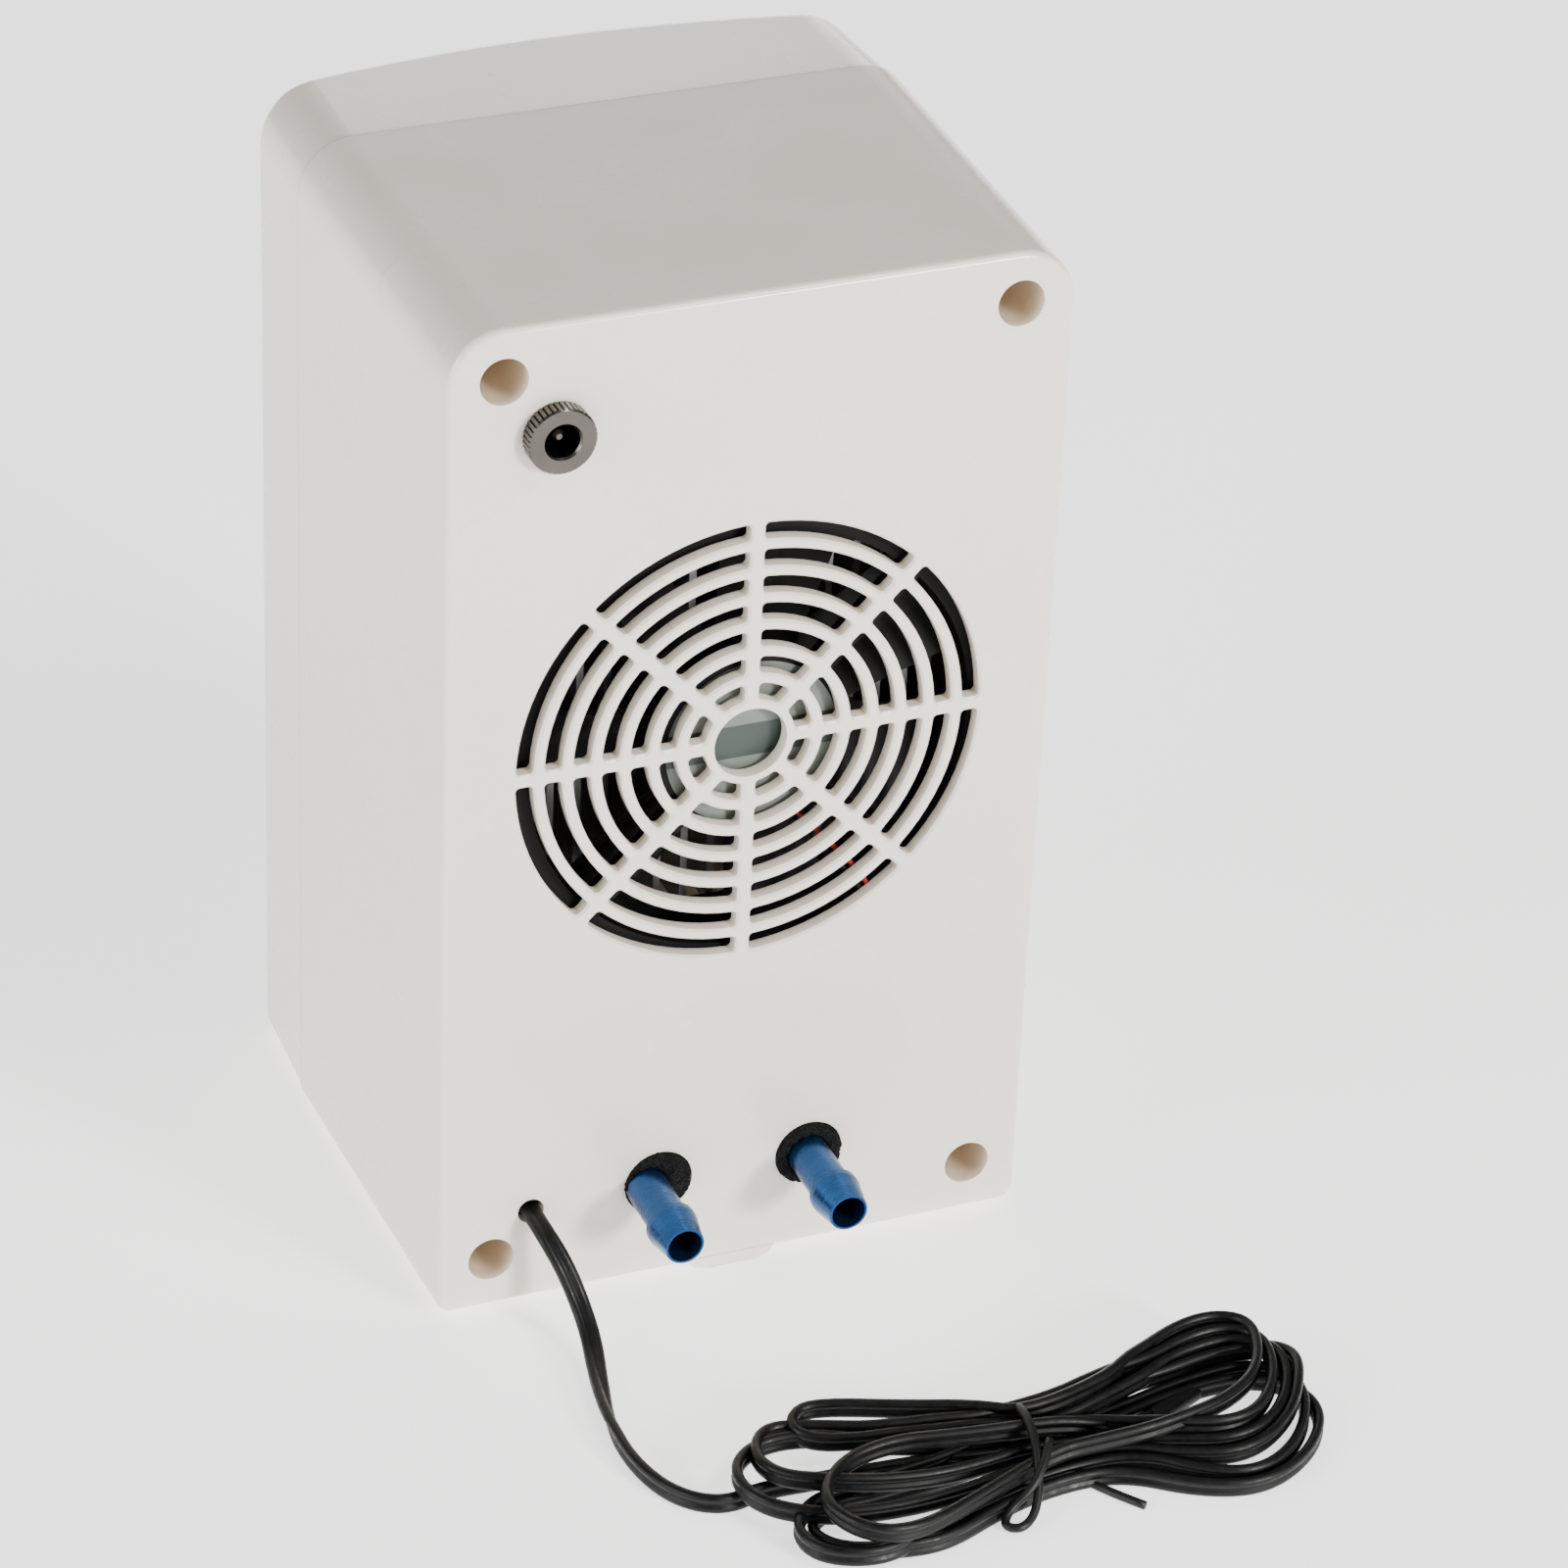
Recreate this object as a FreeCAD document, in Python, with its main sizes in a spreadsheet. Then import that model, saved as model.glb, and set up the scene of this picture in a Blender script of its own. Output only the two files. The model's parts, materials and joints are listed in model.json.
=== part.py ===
import FreeCAD, Part
import math
import os
import re

import Sketcher

# A thermoelectric water chiller for a small aquarium, in millimetres.
# +Z is up, the fan grille, socket and hose barbs face +Y and the display faces -Y.
# The origin is on the floor, at the middle of the box that the chiller and its barbs fill.

Vector = FreeCAD.Vector
doc = FreeCAD.newDocument("WaterChiller")

# Driving dimensions: name, value in millimetres or degrees.
DIMENSIONS = {
    # two-part moulded case
    "rear_y": 40.5,
    "parting_y": -29.1,
    "front_y": -59.0,
    "case_width": 106.6,
    "case_top": 185.0,
    "case_bottom": 0.7,
    "case_wall": 2.5,
    "rear_draft": 0.83,
    "front_draft": 1.8,
    "cover_step": 0.25,
    "cover_inner": 49.8,
    "front_radius": 208.0,
    "top_corner": 9.5,
    "bottom_corner": 2.6,
    "rear_edge": 1.2,
    "front_edge": 2.2,
    "foot_height": 1.0,
    "foot_depth": 3.0,
    "pad_radius": 6.0,
    "pad_x": 38.0,
    "pad_y": -18.0,
    "pad_height": 1.9,
    "vent_width": 3.0,
    "vent_length": 34.0,
    "vent_pitch": 6.0,
    "vent_y": 10.0,
    # screws that hold the two halves together
    "boss_x": 43.0,
    "boss_high": 175.2,
    "boss_low": 11.1,
    "boss_radius": 5.2,
    "counterbore_radius": 4.0,
    "boss_end_y": -14.0,
    "boss_ledge": 4.0,
    "post_radius": 4.6,
    "case_screw_radius": 1.75,
    "case_screw_length": 30.0,
    "case_screw_head": 3.5,
    # fan grille
    "grille_z": 103.0,
    "grille_radius": 40.0,
    "slot_pitch": 4.87,
    "slot_width": 3.0,
    "spoke_width": 2.4,
    "slot_corner": 0.8,
    "slot_chamfer": 0.4,
    "grille_eye": 6.3,
    # cooling fan, 80 x 80 x 15
    "fan_x": -1.5,
    "fan_z": 101.0,
    "fan_rear": 37.0,
    "fan_size": 80.0,
    "fan_depth": 15.0,
    "fan_bore": 38.0,
    "fan_holes": 71.5,
    "hub_plate_radius": 16.5,
    "hub_plate_depth": 3.0,
    "bearing_post_radius": 4.0,
    "bearing_radius": 2.6,
    "shaft_radius": 1.5,
    "shaft_clearance": 0.05,
    "cup_radius": 15.5,
    "cup_wall": 1.2,
    "cup_depth": 9.8,
    "magnet_depth": 7.6,
    "magnet_thickness": 1.8,
    "stator_radius": 12.0,
    "blade_tip": 36.3,
    "blade_thickness": 1.3,
    # heat sink, thermoelectric module and water block
    "sink_width": 92.0,
    "sink_height": 104.0,
    "sink_base": 6.0,
    "sink_front": -8.0,
    "fin_height": 23.6,
    "fin_run": 80.0,
    "fin_thickness": 1.2,
    "fin_pitch": 4.767,
    "sink_post_x": 36.0,
    "sink_post_z": 47.0,
    "sink_post_radius": 4.0,
    "module_size": 40.0,
    "module_thickness": 3.8,
    "pad_thickness": 0.2,
    "block_width": 52.0,
    "block_low": 12.0,
    "block_top": 123.0,
    "block_thickness": 14.0,
    "plug_length": 2.6,
    "foam_thickness": 5.0,
    "clamp_reach": 35.5,
    "clamp_height": 10.0,
    "clamp_thickness": 3.0,
    # hose barbs and the foam round them
    "barb_z": 20.0,
    "barb_middle": 1.35,
    "barb_spread": 14.55,
    "barb_tip_y": 59.0,
    "barb_bore": 2.95,
    "barb_tube": 3.55,
    "barb_crest": 4.35,
    "barb_tip": 3.35,
    "crest_land": 1.2,
    "crest_back": 6.6,
    "hose_hole_x": 13.5,
    "hose_hole_radius": 6.0,
    "foam_proud": 1.2,
    # power socket
    "jack_x": 34.3,
    "jack_z": 164.9,
    "jack_proud": 3.0,
    "jack_ring": 5.65,
    "jack_thread": 4.0,
    "jack_bore": 2.85,
    "jack_pin": 1.0,
    "jack_depth": 15.5,
    # display, buttons and control board in the front cover
    "window_z": 148.0,
    "window_width": 46.0,
    "window_height": 24.0,
    "window_corner": 3.0,
    "window_thickness": 2.0,
    "button_z": 121.0,
    "button_x": 20.0,
    "button_radius": 4.2,
    "button_gap": 0.3,
    "board_width": 84.0,
    "board_low": 108.0,
    "board_top": 166.0,
    "board_front": -47.0,
    "board_thickness": 1.6,
    # temperature sensor lead
    "lead_x": 36.1,
    "lead_z": 19.3,
    "lead_hole": 2.3,
    "lead_thickness": 1.8,
    "hank_height": 9.2,
    "tie_radius": 0.75,
    "probe_radius": 1.7,
    "probe_length": 12.0,
}

sheet = doc.addObject("Spreadsheet::Sheet", "Sizes")
for row, (alias, amount) in enumerate(DIMENSIONS.items(), start=1):
    sheet.set(f"A{row}", alias.replace("_", " "))
    sheet.set(f"B{row}", str(amount))
    sheet.setAlias(f"B{row}", alias)
doc.recompute()


def size(alias):
    """A driving dimension's value, read from the sheet."""
    return float(sheet.get(alias))


def formula(text):
    """An expression in which each driving dimension's name points at its cell."""
    return re.sub(r"[a-z]\w*", lambda word: f"Sizes.{word[0]}" if word[0] in DIMENSIONS else word[0], text)


def bind(thing, **properties):
    """Bind properties to formulas; two underscores in a name stand for a dot."""
    for name, text in properties.items():
        thing.setExpression(name.replace("__", "."), formula(text))
    return thing


# ---------------------------------------------------------------- modelling helpers

ORIGIN_PLANES = {"XY": "XY_Plane", "XZ": "XZ_Plane", "YZ": "YZ_Plane"}


def new_body(label, x="0", y="0", z="0"):
    """A body whose own origin is at x, y, z."""
    body = doc.addObject("PartDesign::Body", label)
    body.Label = label
    for axis, text in zip("xyz", (x, y, z)):
        body.setExpression(f".Placement.Base.{axis}", formula(text))
    return body


def new_sketch(body, plane, x="0", y="0", z="0"):
    """A sketch on one of the body's origin planes, shifted in that plane's own x, y and normal."""
    sketch = body.newObject("Sketcher::SketchObject", f"{body.Name}_sketch")
    support = next(f for f in body.Origin.OriginFeatures if f.Role == ORIGIN_PLANES[plane])
    sketch.AttachmentSupport = [(support, "")]
    sketch.MapMode = "FlatFace"
    for axis, text in zip("xyz", (x, y, z)):
        sketch.setExpression(f".AttachmentOffset.Base.{axis}", formula(text))
    return sketch


def hold(sketch, kind, text, start, *where):
    """Add a dimension to a sketch and bind it to a formula."""
    number = sketch.addConstraint(Sketcher.Constraint(kind, *where, start))
    sketch.setExpression(f"Constraints[{number}]", formula(text))


def outline(sketch, corners):
    """A closed outline of straight lines through corners, each given as two formulas."""
    first, count = sketch.GeometryCount, len(corners)
    turn = 2 * math.pi / count
    rough = [Vector(10 * math.cos(turn * i), 10 * math.sin(turn * i), 0) for i in range(count)]
    for i in range(count):
        sketch.addGeometry(Part.LineSegment(rough[i], rough[(i + 1) % count]), False)
    for i in range(count):
        sketch.addConstraint(Sketcher.Constraint("Coincident", first + i, 2, first + (i + 1) % count, 1))
    for i, (across, up) in enumerate(corners):
        hold(sketch, "DistanceX", across, rough[i].x, -1, 1, first + i, 1)
        hold(sketch, "DistanceY", up, rough[i].y, -1, 1, first + i, 1)


def rectangle(sketch, left, right, low, high):
    outline(sketch, [(left, low), (right, low), (right, high), (left, high)])


def circle(sketch, across, up, radius):
    number = sketch.addGeometry(Part.Circle(Vector(0, 0, 0), Vector(0, 0, 1), 1.0), False)
    hold(sketch, "DistanceX", across, 0.0, -1, 1, number, 3)
    hold(sketch, "DistanceY", up, 0.0, -1, 1, number, 3)
    hold(sketch, "Radius", radius, 1.0, number)


def feature(body, kind, sketch, reverse=False, **properties):
    """A sketch-based feature of a body, with its sizes bound to formulas.

    A pad follows the sketch's normal and a pocket goes against it, unless reversed.
    """
    made = body.newObject(f"PartDesign::{kind}", f"{body.Name}_{kind}")
    made.Profile = sketch
    made.Reversed = reverse
    bind(made, **properties)
    sketch.Visibility = False
    return made


def cut_through(body, sketch):
    """Cut a sketch's outline through the whole body, both ways."""
    pocket = feature(body, "Pocket", sketch)
    pocket.Type = 1
    pocket.Midplane = True
    return pocket


def turned(body, corners, axis="V_Axis", plane="XY"):
    """A solid of revolution about the Y axis of the body, from (radius, y) corners."""
    sketch = new_sketch(body, plane)
    outline(sketch, corners)
    made = feature(body, "Revolution", sketch)
    made.ReferenceAxis = (sketch, [axis])
    return made


def polar(body, what, sketch, count):
    """Repeat a feature about the normal of a sketch, through the sketch's origin."""
    pattern = body.newObject("PartDesign::PolarPattern", f"{body.Name}_pattern")
    pattern.Originals = [what]
    pattern.Axis = (sketch, ["N_Axis"])
    pattern.Occurrences = count
    body.Tip = pattern
    return pattern


def in_a_row(body, what, sketch, direction, spacing, count):
    """Repeat a feature along a sketch's axis, with the given spacing."""
    pattern = body.newObject("PartDesign::LinearPattern", f"{body.Name}_row")
    pattern.Originals = [what]
    pattern.Direction = (sketch, [direction])
    pattern.Occurrences = count
    bind(pattern, Length=f"({spacing}) * {count - 1}")
    body.Tip = pattern
    return pattern


def fillet(body, radius, chosen):
    """Round the edges for which chosen(edge) is true."""
    doc.recompute()
    base = body.Tip
    edges = [f"Edge{i}" for i, edge in enumerate(base.Shape.Edges, start=1) if chosen(edge)]
    made = body.newObject("PartDesign::Fillet", f"{body.Name}_fillet")
    made.Base = (base, edges)
    bind(made, Radius=radius)
    return made


def along_y(edge, across, low, high, tolerance=0.6):
    """Whether an edge runs along Y at |x| = across, with z between low and high."""
    box = edge.BoundBox
    middle = box.Center
    runs = box.YLength > 5 * max(box.XLength, box.ZLength, 0.01)
    return runs and abs(abs(middle.x) - across) < tolerance and low < middle.z < high


def group(label, source, places):
    """One sub-part made of equal loose pieces: a source body and copies of it elsewhere."""
    links = []
    for number, (x, y, z) in enumerate(places, start=1):
        link = doc.addObject("App::Link", f"{label}_{number}")
        link.LinkedObject = source
        link.LinkTransform = True
        for axis, text in zip("xyz", (x, y, z)):
            link.setExpression(f".Placement.Base.{axis}", formula(text))
        links.append(link)
    compound = doc.addObject("Part::Compound", label)
    compound.Label = label
    compound.Links = links
    return compound


SUBPARTS = []  # every finished sub-part, in the order it is made


def finished(thing):
    SUBPARTS.append(thing)
    return thing


# ---------------------------------------------------------------- case

CORNER_BOSSES = [(f"{side} * boss_x", level) for side in (-1, 1) for level in ("boss_low", "boss_high")]
HALF_FRONT_RISE = "(front_radius - sqrt(front_radius ^ 2 - button_x ^ 2))"


def slot_outline(sketch, number, wider="0"):
    """One grille slot between two spokes: two arcs about the eye, two ends parallel to the spokes.

    It can be wider all round by a named dimension, for the chamfer along its edge.
    """
    margin = 0.0 if wider == "0" else size(wider)
    half, corner = size("spoke_width") / 2 - margin, size("slot_corner") + margin
    outer = size("grille_radius") - number * size("slot_pitch") + margin
    inner = outer - size("slot_width") - 2 * margin
    skew = math.radians(45)

    def on_end(radius, far_end):
        """The point at a radius from the eye on the near end's line or on its mirror image."""
        angle = math.asin(half / radius)
        angle = skew - angle if far_end else angle
        return Vector(radius * math.cos(angle), radius * math.sin(angle), 0), angle

    def corner_centre(radius, far_end):
        """Centre of a rounded corner, a corner radius off the end's line."""
        angle = math.asin((half + corner) / radius)
        angle = skew - angle if far_end else angle
        return Vector(radius * math.cos(angle), radius * math.sin(angle), 0), angle

    first = sketch.GeometryCount
    normal, eye = Vector(0, 0, 1), Vector(0, 0, 0)
    (outer_near, a0), (outer_far, a1) = (corner_centre(outer - corner, end) for end in (False, True))
    (inner_near, b0), (inner_far, b1) = (corner_centre(inner + corner, end) for end in (False, True))
    near = math.sqrt((outer - corner) ** 2 - (half + corner) ** 2)
    back = math.sqrt((inner + corner) ** 2 - (half + corner) ** 2)
    along = Vector(math.cos(skew), math.sin(skew), 0)
    aside = Vector(math.sin(skew), -math.cos(skew), 0)
    sketch.addGeometry(
        [
            Part.ArcOfCircle(Part.Circle(eye, normal, outer), a0, a1),
            Part.ArcOfCircle(Part.Circle(outer_far, normal, corner), a1, skew + math.pi / 2),
            Part.LineSegment(along * back + aside * half, along * near + aside * half),
            Part.ArcOfCircle(Part.Circle(inner_far, normal, corner), skew + math.pi / 2, b1 + math.pi),
            Part.ArcOfCircle(Part.Circle(eye, normal, inner), b0, b1),
            Part.ArcOfCircle(Part.Circle(inner_near, normal, corner), b0 + math.pi, 1.5 * math.pi),
            Part.LineSegment(Vector(back, half, 0), Vector(near, half, 0)),
            Part.ArcOfCircle(Part.Circle(outer_near, normal, corner), -math.pi / 2, a0),
        ],
        False,
    )
    joins = [(0, 2, 1, 1), (1, 2, 2, 2), (2, 1, 3, 1), (3, 2, 4, 2), (4, 1, 5, 1), (5, 2, 6, 1),
             (6, 2, 7, 1), (7, 2, 0, 1)]
    for one, end, other, start in joins:
        sketch.addConstraint(Sketcher.Constraint("Tangent", first + one, end, first + other, start))
    outer_text = f"grille_radius - {number} * slot_pitch"
    for arc, text, value in ((0, f"{outer_text} + {wider}", outer),
                             (4, f"{outer_text} - slot_width - {wider}", inner)):
        sketch.addConstraint(Sketcher.Constraint("Coincident", first + arc, 3, -1, 1))
        hold(sketch, "Radius", text, value, first + arc)
    for arc in (1, 3, 5, 7):
        hold(sketch, "Radius", f"slot_corner + {wider}", corner, first + arc)
    sketch.addConstraint(Sketcher.Constraint("Horizontal", first + 6))
    hold(sketch, "DistanceY", f"spoke_width / 2 - {wider}", half, -1, 1, first + 6, 1)
    hold(sketch, "Angle", "45 deg", skew, -1, first + 2)
    hold(sketch, "Distance", f"spoke_width / 2 - {wider}", half, -1, 1, first + 2)


def housing_inside(sketch):
    """Front view of the housing's hollow: a rectangle a wall's thickness in, rounded at its top corners."""
    half, radius = size("case_width") / 2 - size("case_wall"), size("top_corner") - size("case_wall")
    low, high = size("case_bottom") + size("case_wall"), size("case_top") - size("case_wall")
    normal, shoulder, top = Vector(0, 0, 1), high - radius, half - radius
    sketch.addGeometry(
        [
            Part.LineSegment(Vector(-half, low, 0), Vector(half, low, 0)),
            Part.LineSegment(Vector(half, low, 0), Vector(half, shoulder, 0)),
            Part.ArcOfCircle(Part.Circle(Vector(top, shoulder, 0), normal, radius), 0, math.pi / 2),
            Part.LineSegment(Vector(top, high, 0), Vector(-top, high, 0)),
            Part.ArcOfCircle(Part.Circle(Vector(-top, shoulder, 0), normal, radius), math.pi / 2, math.pi),
            Part.LineSegment(Vector(-half, shoulder, 0), Vector(-half, low, 0)),
        ],
        False,
    )
    for one, other in ((5, 0), (0, 1)):
        sketch.addConstraint(Sketcher.Constraint("Coincident", one, 2, other, 1))
    for one, other in ((1, 2), (2, 3), (3, 4), (4, 5)):
        sketch.addConstraint(Sketcher.Constraint("Tangent", one, 2, other, 1))
    for side in (1, 5):
        sketch.addConstraint(Sketcher.Constraint("Vertical", side))
    hold(sketch, "DistanceX", "-case_width / 2 + case_wall", -half, -1, 1, 0, 1)
    hold(sketch, "DistanceX", "case_width / 2 - case_wall", half, -1, 1, 0, 2)
    for end in (1, 2):
        hold(sketch, "DistanceY", "case_bottom + case_wall", low, -1, 1, 0, end)
    sketch.addConstraint(Sketcher.Constraint("Horizontal", 3))
    hold(sketch, "DistanceY", "case_top - case_wall", high, -1, 1, 3, 1)
    for arc in (2, 4):
        hold(sketch, "Radius", "top_corner - case_wall", radius, arc)


def make_rear_housing():
    """Deep rear half: drafted walls, grille, screw bosses, heat-sink posts and all the outlets."""
    body = new_body("rear_housing")
    profile = new_sketch(body, "XZ", z="-parting_y")
    rectangle(profile, "-case_width / 2", "case_width / 2", "case_bottom", "case_top")
    block = feature(body, "Pad", profile, reverse=True, Length="rear_y - parting_y")
    bind(block, TaperAngle="-rear_draft")
    half, middle = size("case_width") / 2, size("case_top") / 2
    at_parting, at_rear = size("parting_y"), size("rear_y")
    fillet(body, "top_corner", lambda e: along_y(e, half, middle, 999, 1.5))
    fillet(body, "bottom_corner", lambda e: along_y(e, half, -9, middle, 1.5))
    fillet(body, "rear_edge", lambda e: e.BoundBox.YMin > at_rear - 0.01)
    inside = new_sketch(body, "XZ", z="-parting_y")
    housing_inside(inside)
    room = feature(body, "Pocket", inside, Length="rear_y - case_wall - parting_y")
    bind(room, TaperAngle="-rear_draft")

    bosses = new_sketch(body, "XZ", z="-(rear_y - case_wall + 0.5)")
    for x, z in CORNER_BOSSES:
        circle(bosses, x, z, "boss_radius")
    feature(body, "Pad", bosses, Length="rear_y - case_wall + 0.5 - boss_end_y")
    posts = new_sketch(body, "XZ", z="-(rear_y - case_wall + 0.5)")
    for x in (-1, 1):
        for z in (-1, 1):
            circle(posts, f"fan_x + {x} * sink_post_x", f"fan_z + {z} * sink_post_z", "sink_post_radius")
    feature(body, "Pad", posts, Length="rear_y - case_wall + 0.5 - sink_front - sink_base")
    # The foot is a small tab under the rear wall, flush with it.
    foot = new_sketch(body, "XZ", z="-rear_y")
    outline(foot, [("-8", "case_bottom + foot_height + 0.6"), ("-7", "foot_height / 2 + 0.2"),
                   ("-5", "0"), ("4", "0"),
                   ("6.6", "foot_height / 2 + 0.2"), ("8", "case_bottom + foot_height + 0.6")])
    feature(body, "Pad", foot, Length="foot_depth")

    counterbores = new_sketch(body, "XZ", z="-rear_y")
    for x, z in CORNER_BOSSES:
        circle(counterbores, x, z, "counterbore_radius")
    feature(body, "Pocket", counterbores, reverse=True, Length="rear_y - boss_end_y - boss_ledge")
    clearance = new_sketch(body, "XZ", z="-rear_y")
    for x, z in CORNER_BOSSES:
        circle(clearance, x, z, "case_screw_radius + 0.3")
    feature(body, "Pocket", clearance, reverse=True, Length="rear_y - boss_end_y + 1")
    pilots = new_sketch(body, "XZ", z="-(sink_front + sink_base)")
    for x in (-1, 1):
        for z in (-1, 1):
            circle(pilots, f"fan_x + {x} * sink_post_x", f"fan_z + {z} * sink_post_z", "1.55")
    feature(body, "Pocket", pilots, Length="16")
    outlets = new_sketch(body, "XZ", z="-rear_y")
    circle(outlets, "jack_x", "jack_z", "jack_thread + 0.1")
    circle(outlets, "hose_hole_x", "barb_z", "hose_hole_radius")
    circle(outlets, "-hose_hole_x", "barb_z", "hose_hole_radius")
    circle(outlets, "lead_x", "lead_z", "lead_hole")
    circle(outlets, "0", "grille_z", "grille_eye")
    feature(body, "Pocket", outlets, reverse=True, Length="case_wall + 2")
    pads = new_sketch(body, "XY")
    for side in (-1, 1):
        circle(pads, f"{side} * pad_x", "pad_y", "pad_radius + 0.2")
    feature(body, "Pocket", pads, reverse=True, Length="pad_height")
    vent = new_sketch(body, "XY")
    rectangle(vent, "-4.5 * vent_pitch - vent_width / 2", "-4.5 * vent_pitch + vent_width / 2",
              "vent_y - vent_length / 2", "vent_y + vent_length / 2")
    vent_cut = feature(body, "Pocket", vent, reverse=True, Length="case_bottom + case_wall + 2")
    in_a_row(body, vent_cut, vent, "H_Axis", "vent_pitch", 10)

    slots = new_sketch(body, "XZ", y="grille_z", z="-rear_y")
    for number in range(7):
        slot_outline(slots, number)
    slot_cut = feature(body, "Pocket", slots, reverse=True, Length="case_wall + 1")
    polar(body, slot_cut, slots, 8)
    # A chamfer softens the edges of the slots, as on a moulded grille.
    edges = new_sketch(body, "XZ", y="grille_z", z="-rear_y")
    for number in range(7):
        slot_outline(edges, number, "slot_chamfer")
    edge_cut = feature(body, "Pocket", edges, reverse=True, Length="slot_chamfer")
    bind(edge_cut, TaperAngle="-45 deg")
    polar(body, edge_cut, edges, 8)
    return finished(body)


def cover_inside(sketch):
    """Plan of the cover's hollow: straight sides and an arc a wall's thickness behind the convex face."""
    half, back = size("cover_inner"), size("parting_y") + 1
    radius = size("front_radius") - size("case_wall")
    centre = Vector(0, size("front_y") + size("front_radius"), 0)
    lean = math.asin(half / radius)
    low = centre.y - radius * math.cos(lean)
    bottom = -math.pi / 2
    sketch.addGeometry(
        [
            Part.LineSegment(Vector(half, low, 0), Vector(half, back, 0)),
            Part.LineSegment(Vector(half, back, 0), Vector(-half, back, 0)),
            Part.LineSegment(Vector(-half, back, 0), Vector(-half, low, 0)),
            Part.ArcOfCircle(Part.Circle(centre, Vector(0, 0, 1), radius), bottom - lean, bottom + lean),
        ],
        False,
    )
    for one, end, other, start in ((0, 2, 1, 1), (1, 2, 2, 1), (2, 2, 3, 1), (3, 2, 0, 1)):
        sketch.addConstraint(Sketcher.Constraint("Coincident", one, end, other, start))
    for side in (0, 2):
        sketch.addConstraint(Sketcher.Constraint("Vertical", side))
    for corner, across in ((1, "cover_inner"), (2, "-cover_inner")):
        hold(sketch, "DistanceX", across, half, -1, 1, corner, 1)
        hold(sketch, "DistanceY", "parting_y + 1", back, -1, 1, corner, 1)
    hold(sketch, "DistanceX", "0", 0.0, -1, 1, 3, 3)
    hold(sketch, "DistanceY", "front_y + front_radius", centre.y, -1, 1, 3, 3)
    hold(sketch, "Radius", "front_radius - case_wall", radius, 3)


def make_front_cover():
    """Shallow front half with a gently convex face, the display opening and three button holes."""
    body = new_body("front_cover")
    profile = new_sketch(body, "XZ", z="-parting_y")
    rectangle(profile, "-case_width / 2 + cover_step", "case_width / 2 - cover_step",
              "case_bottom + cover_step", "case_top - cover_step")
    block = feature(body, "Pad", profile, Length="parting_y - front_y + 1")
    bind(block, TaperAngle="-front_draft")
    half, middle = size("case_width") / 2, size("case_top") / 2
    fillet(body, "top_corner", lambda e: along_y(e, half, middle, 999, 1.5))
    fillet(body, "bottom_corner", lambda e: along_y(e, half, -9, middle, 1.5))
    # The convex face is cut by a large cylinder about a vertical axis.
    face = new_sketch(body, "XY")
    circle(face, "0", "front_y + front_radius", "front_radius")
    circle(face, "0", "front_y + front_radius", "front_radius + 30")
    cut_through(body, face)
    front = size("front_y")
    fillet(body, "front_edge", lambda e: e.BoundBox.YMax < front + 6.9)
    room = new_sketch(body, "XY", z="(case_top + case_bottom) / 2")
    cover_inside(room)
    hollow = feature(body, "Pocket", room,
                     Length="case_top - case_bottom - 2 * cover_step - 2 * case_wall - 4")
    hollow.Midplane = True

    inside = "-(front_y + case_wall + 0.2)"
    posts = new_sketch(body, "XZ", z="-(boss_end_y - 0.3)")
    for x, z in CORNER_BOSSES:
        circle(posts, x, z, "post_radius")
    feature(body, "Pad", posts, Length="boss_end_y - 0.3 - front_y - 7.6")
    board_posts = new_sketch(body, "XZ", z="-board_front")
    for x in (-1, 1):
        for z in ("board_low + 5", "board_top - 5"):
            circle(board_posts, f"{x} * (board_width / 2 - 5)", z, "3.2")
    feature(body, "Pad", board_posts, Length="board_front - front_y - 4.5")
    window = new_sketch(body, "XZ", z=inside)
    rectangle(window, "-window_width / 2", "window_width / 2", "window_z - window_height / 2",
              "window_z + window_height / 2")
    cut_through(body, window)
    fillet(body, "window_corner", lambda e: along_y(e, size("window_width") / 2, size("window_z") - 20,
                                                    size("window_z") + 20, 0.1))
    holes = new_sketch(body, "XZ", z=inside)
    for place in ("-button_x", "0", "button_x"):
        circle(holes, place, "button_z", "button_radius + button_gap")
    cut_through(body, holes)
    pilots = new_sketch(body, "XZ", z="-(boss_end_y - 0.3)")
    for x, z in CORNER_BOSSES:
        circle(pilots, x, z, "case_screw_radius + 0.05")
    feature(body, "Pocket", pilots, reverse=True, Length="case_screw_length")
    board_pilots = new_sketch(body, "XZ", z="-board_front")
    for x in (-1, 1):
        for z in ("board_low + 5", "board_top - 5"):
            circle(board_pilots, f"{x} * (board_width / 2 - 5)", z, "1.3")
    feature(body, "Pocket", board_pilots, reverse=True, Length="5")
    return finished(body)


def make_feet():
    """Two rubber pads under the front, pressed into round recesses."""
    pads = new_body("front_feet")
    sketch = new_sketch(pads, "XY")
    for side in (-1, 1):
        circle(sketch, f"{side} * pad_x", "pad_y", "pad_radius")
    feature(pads, "Pad", sketch, Length="pad_height")
    return finished(pads)


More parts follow.
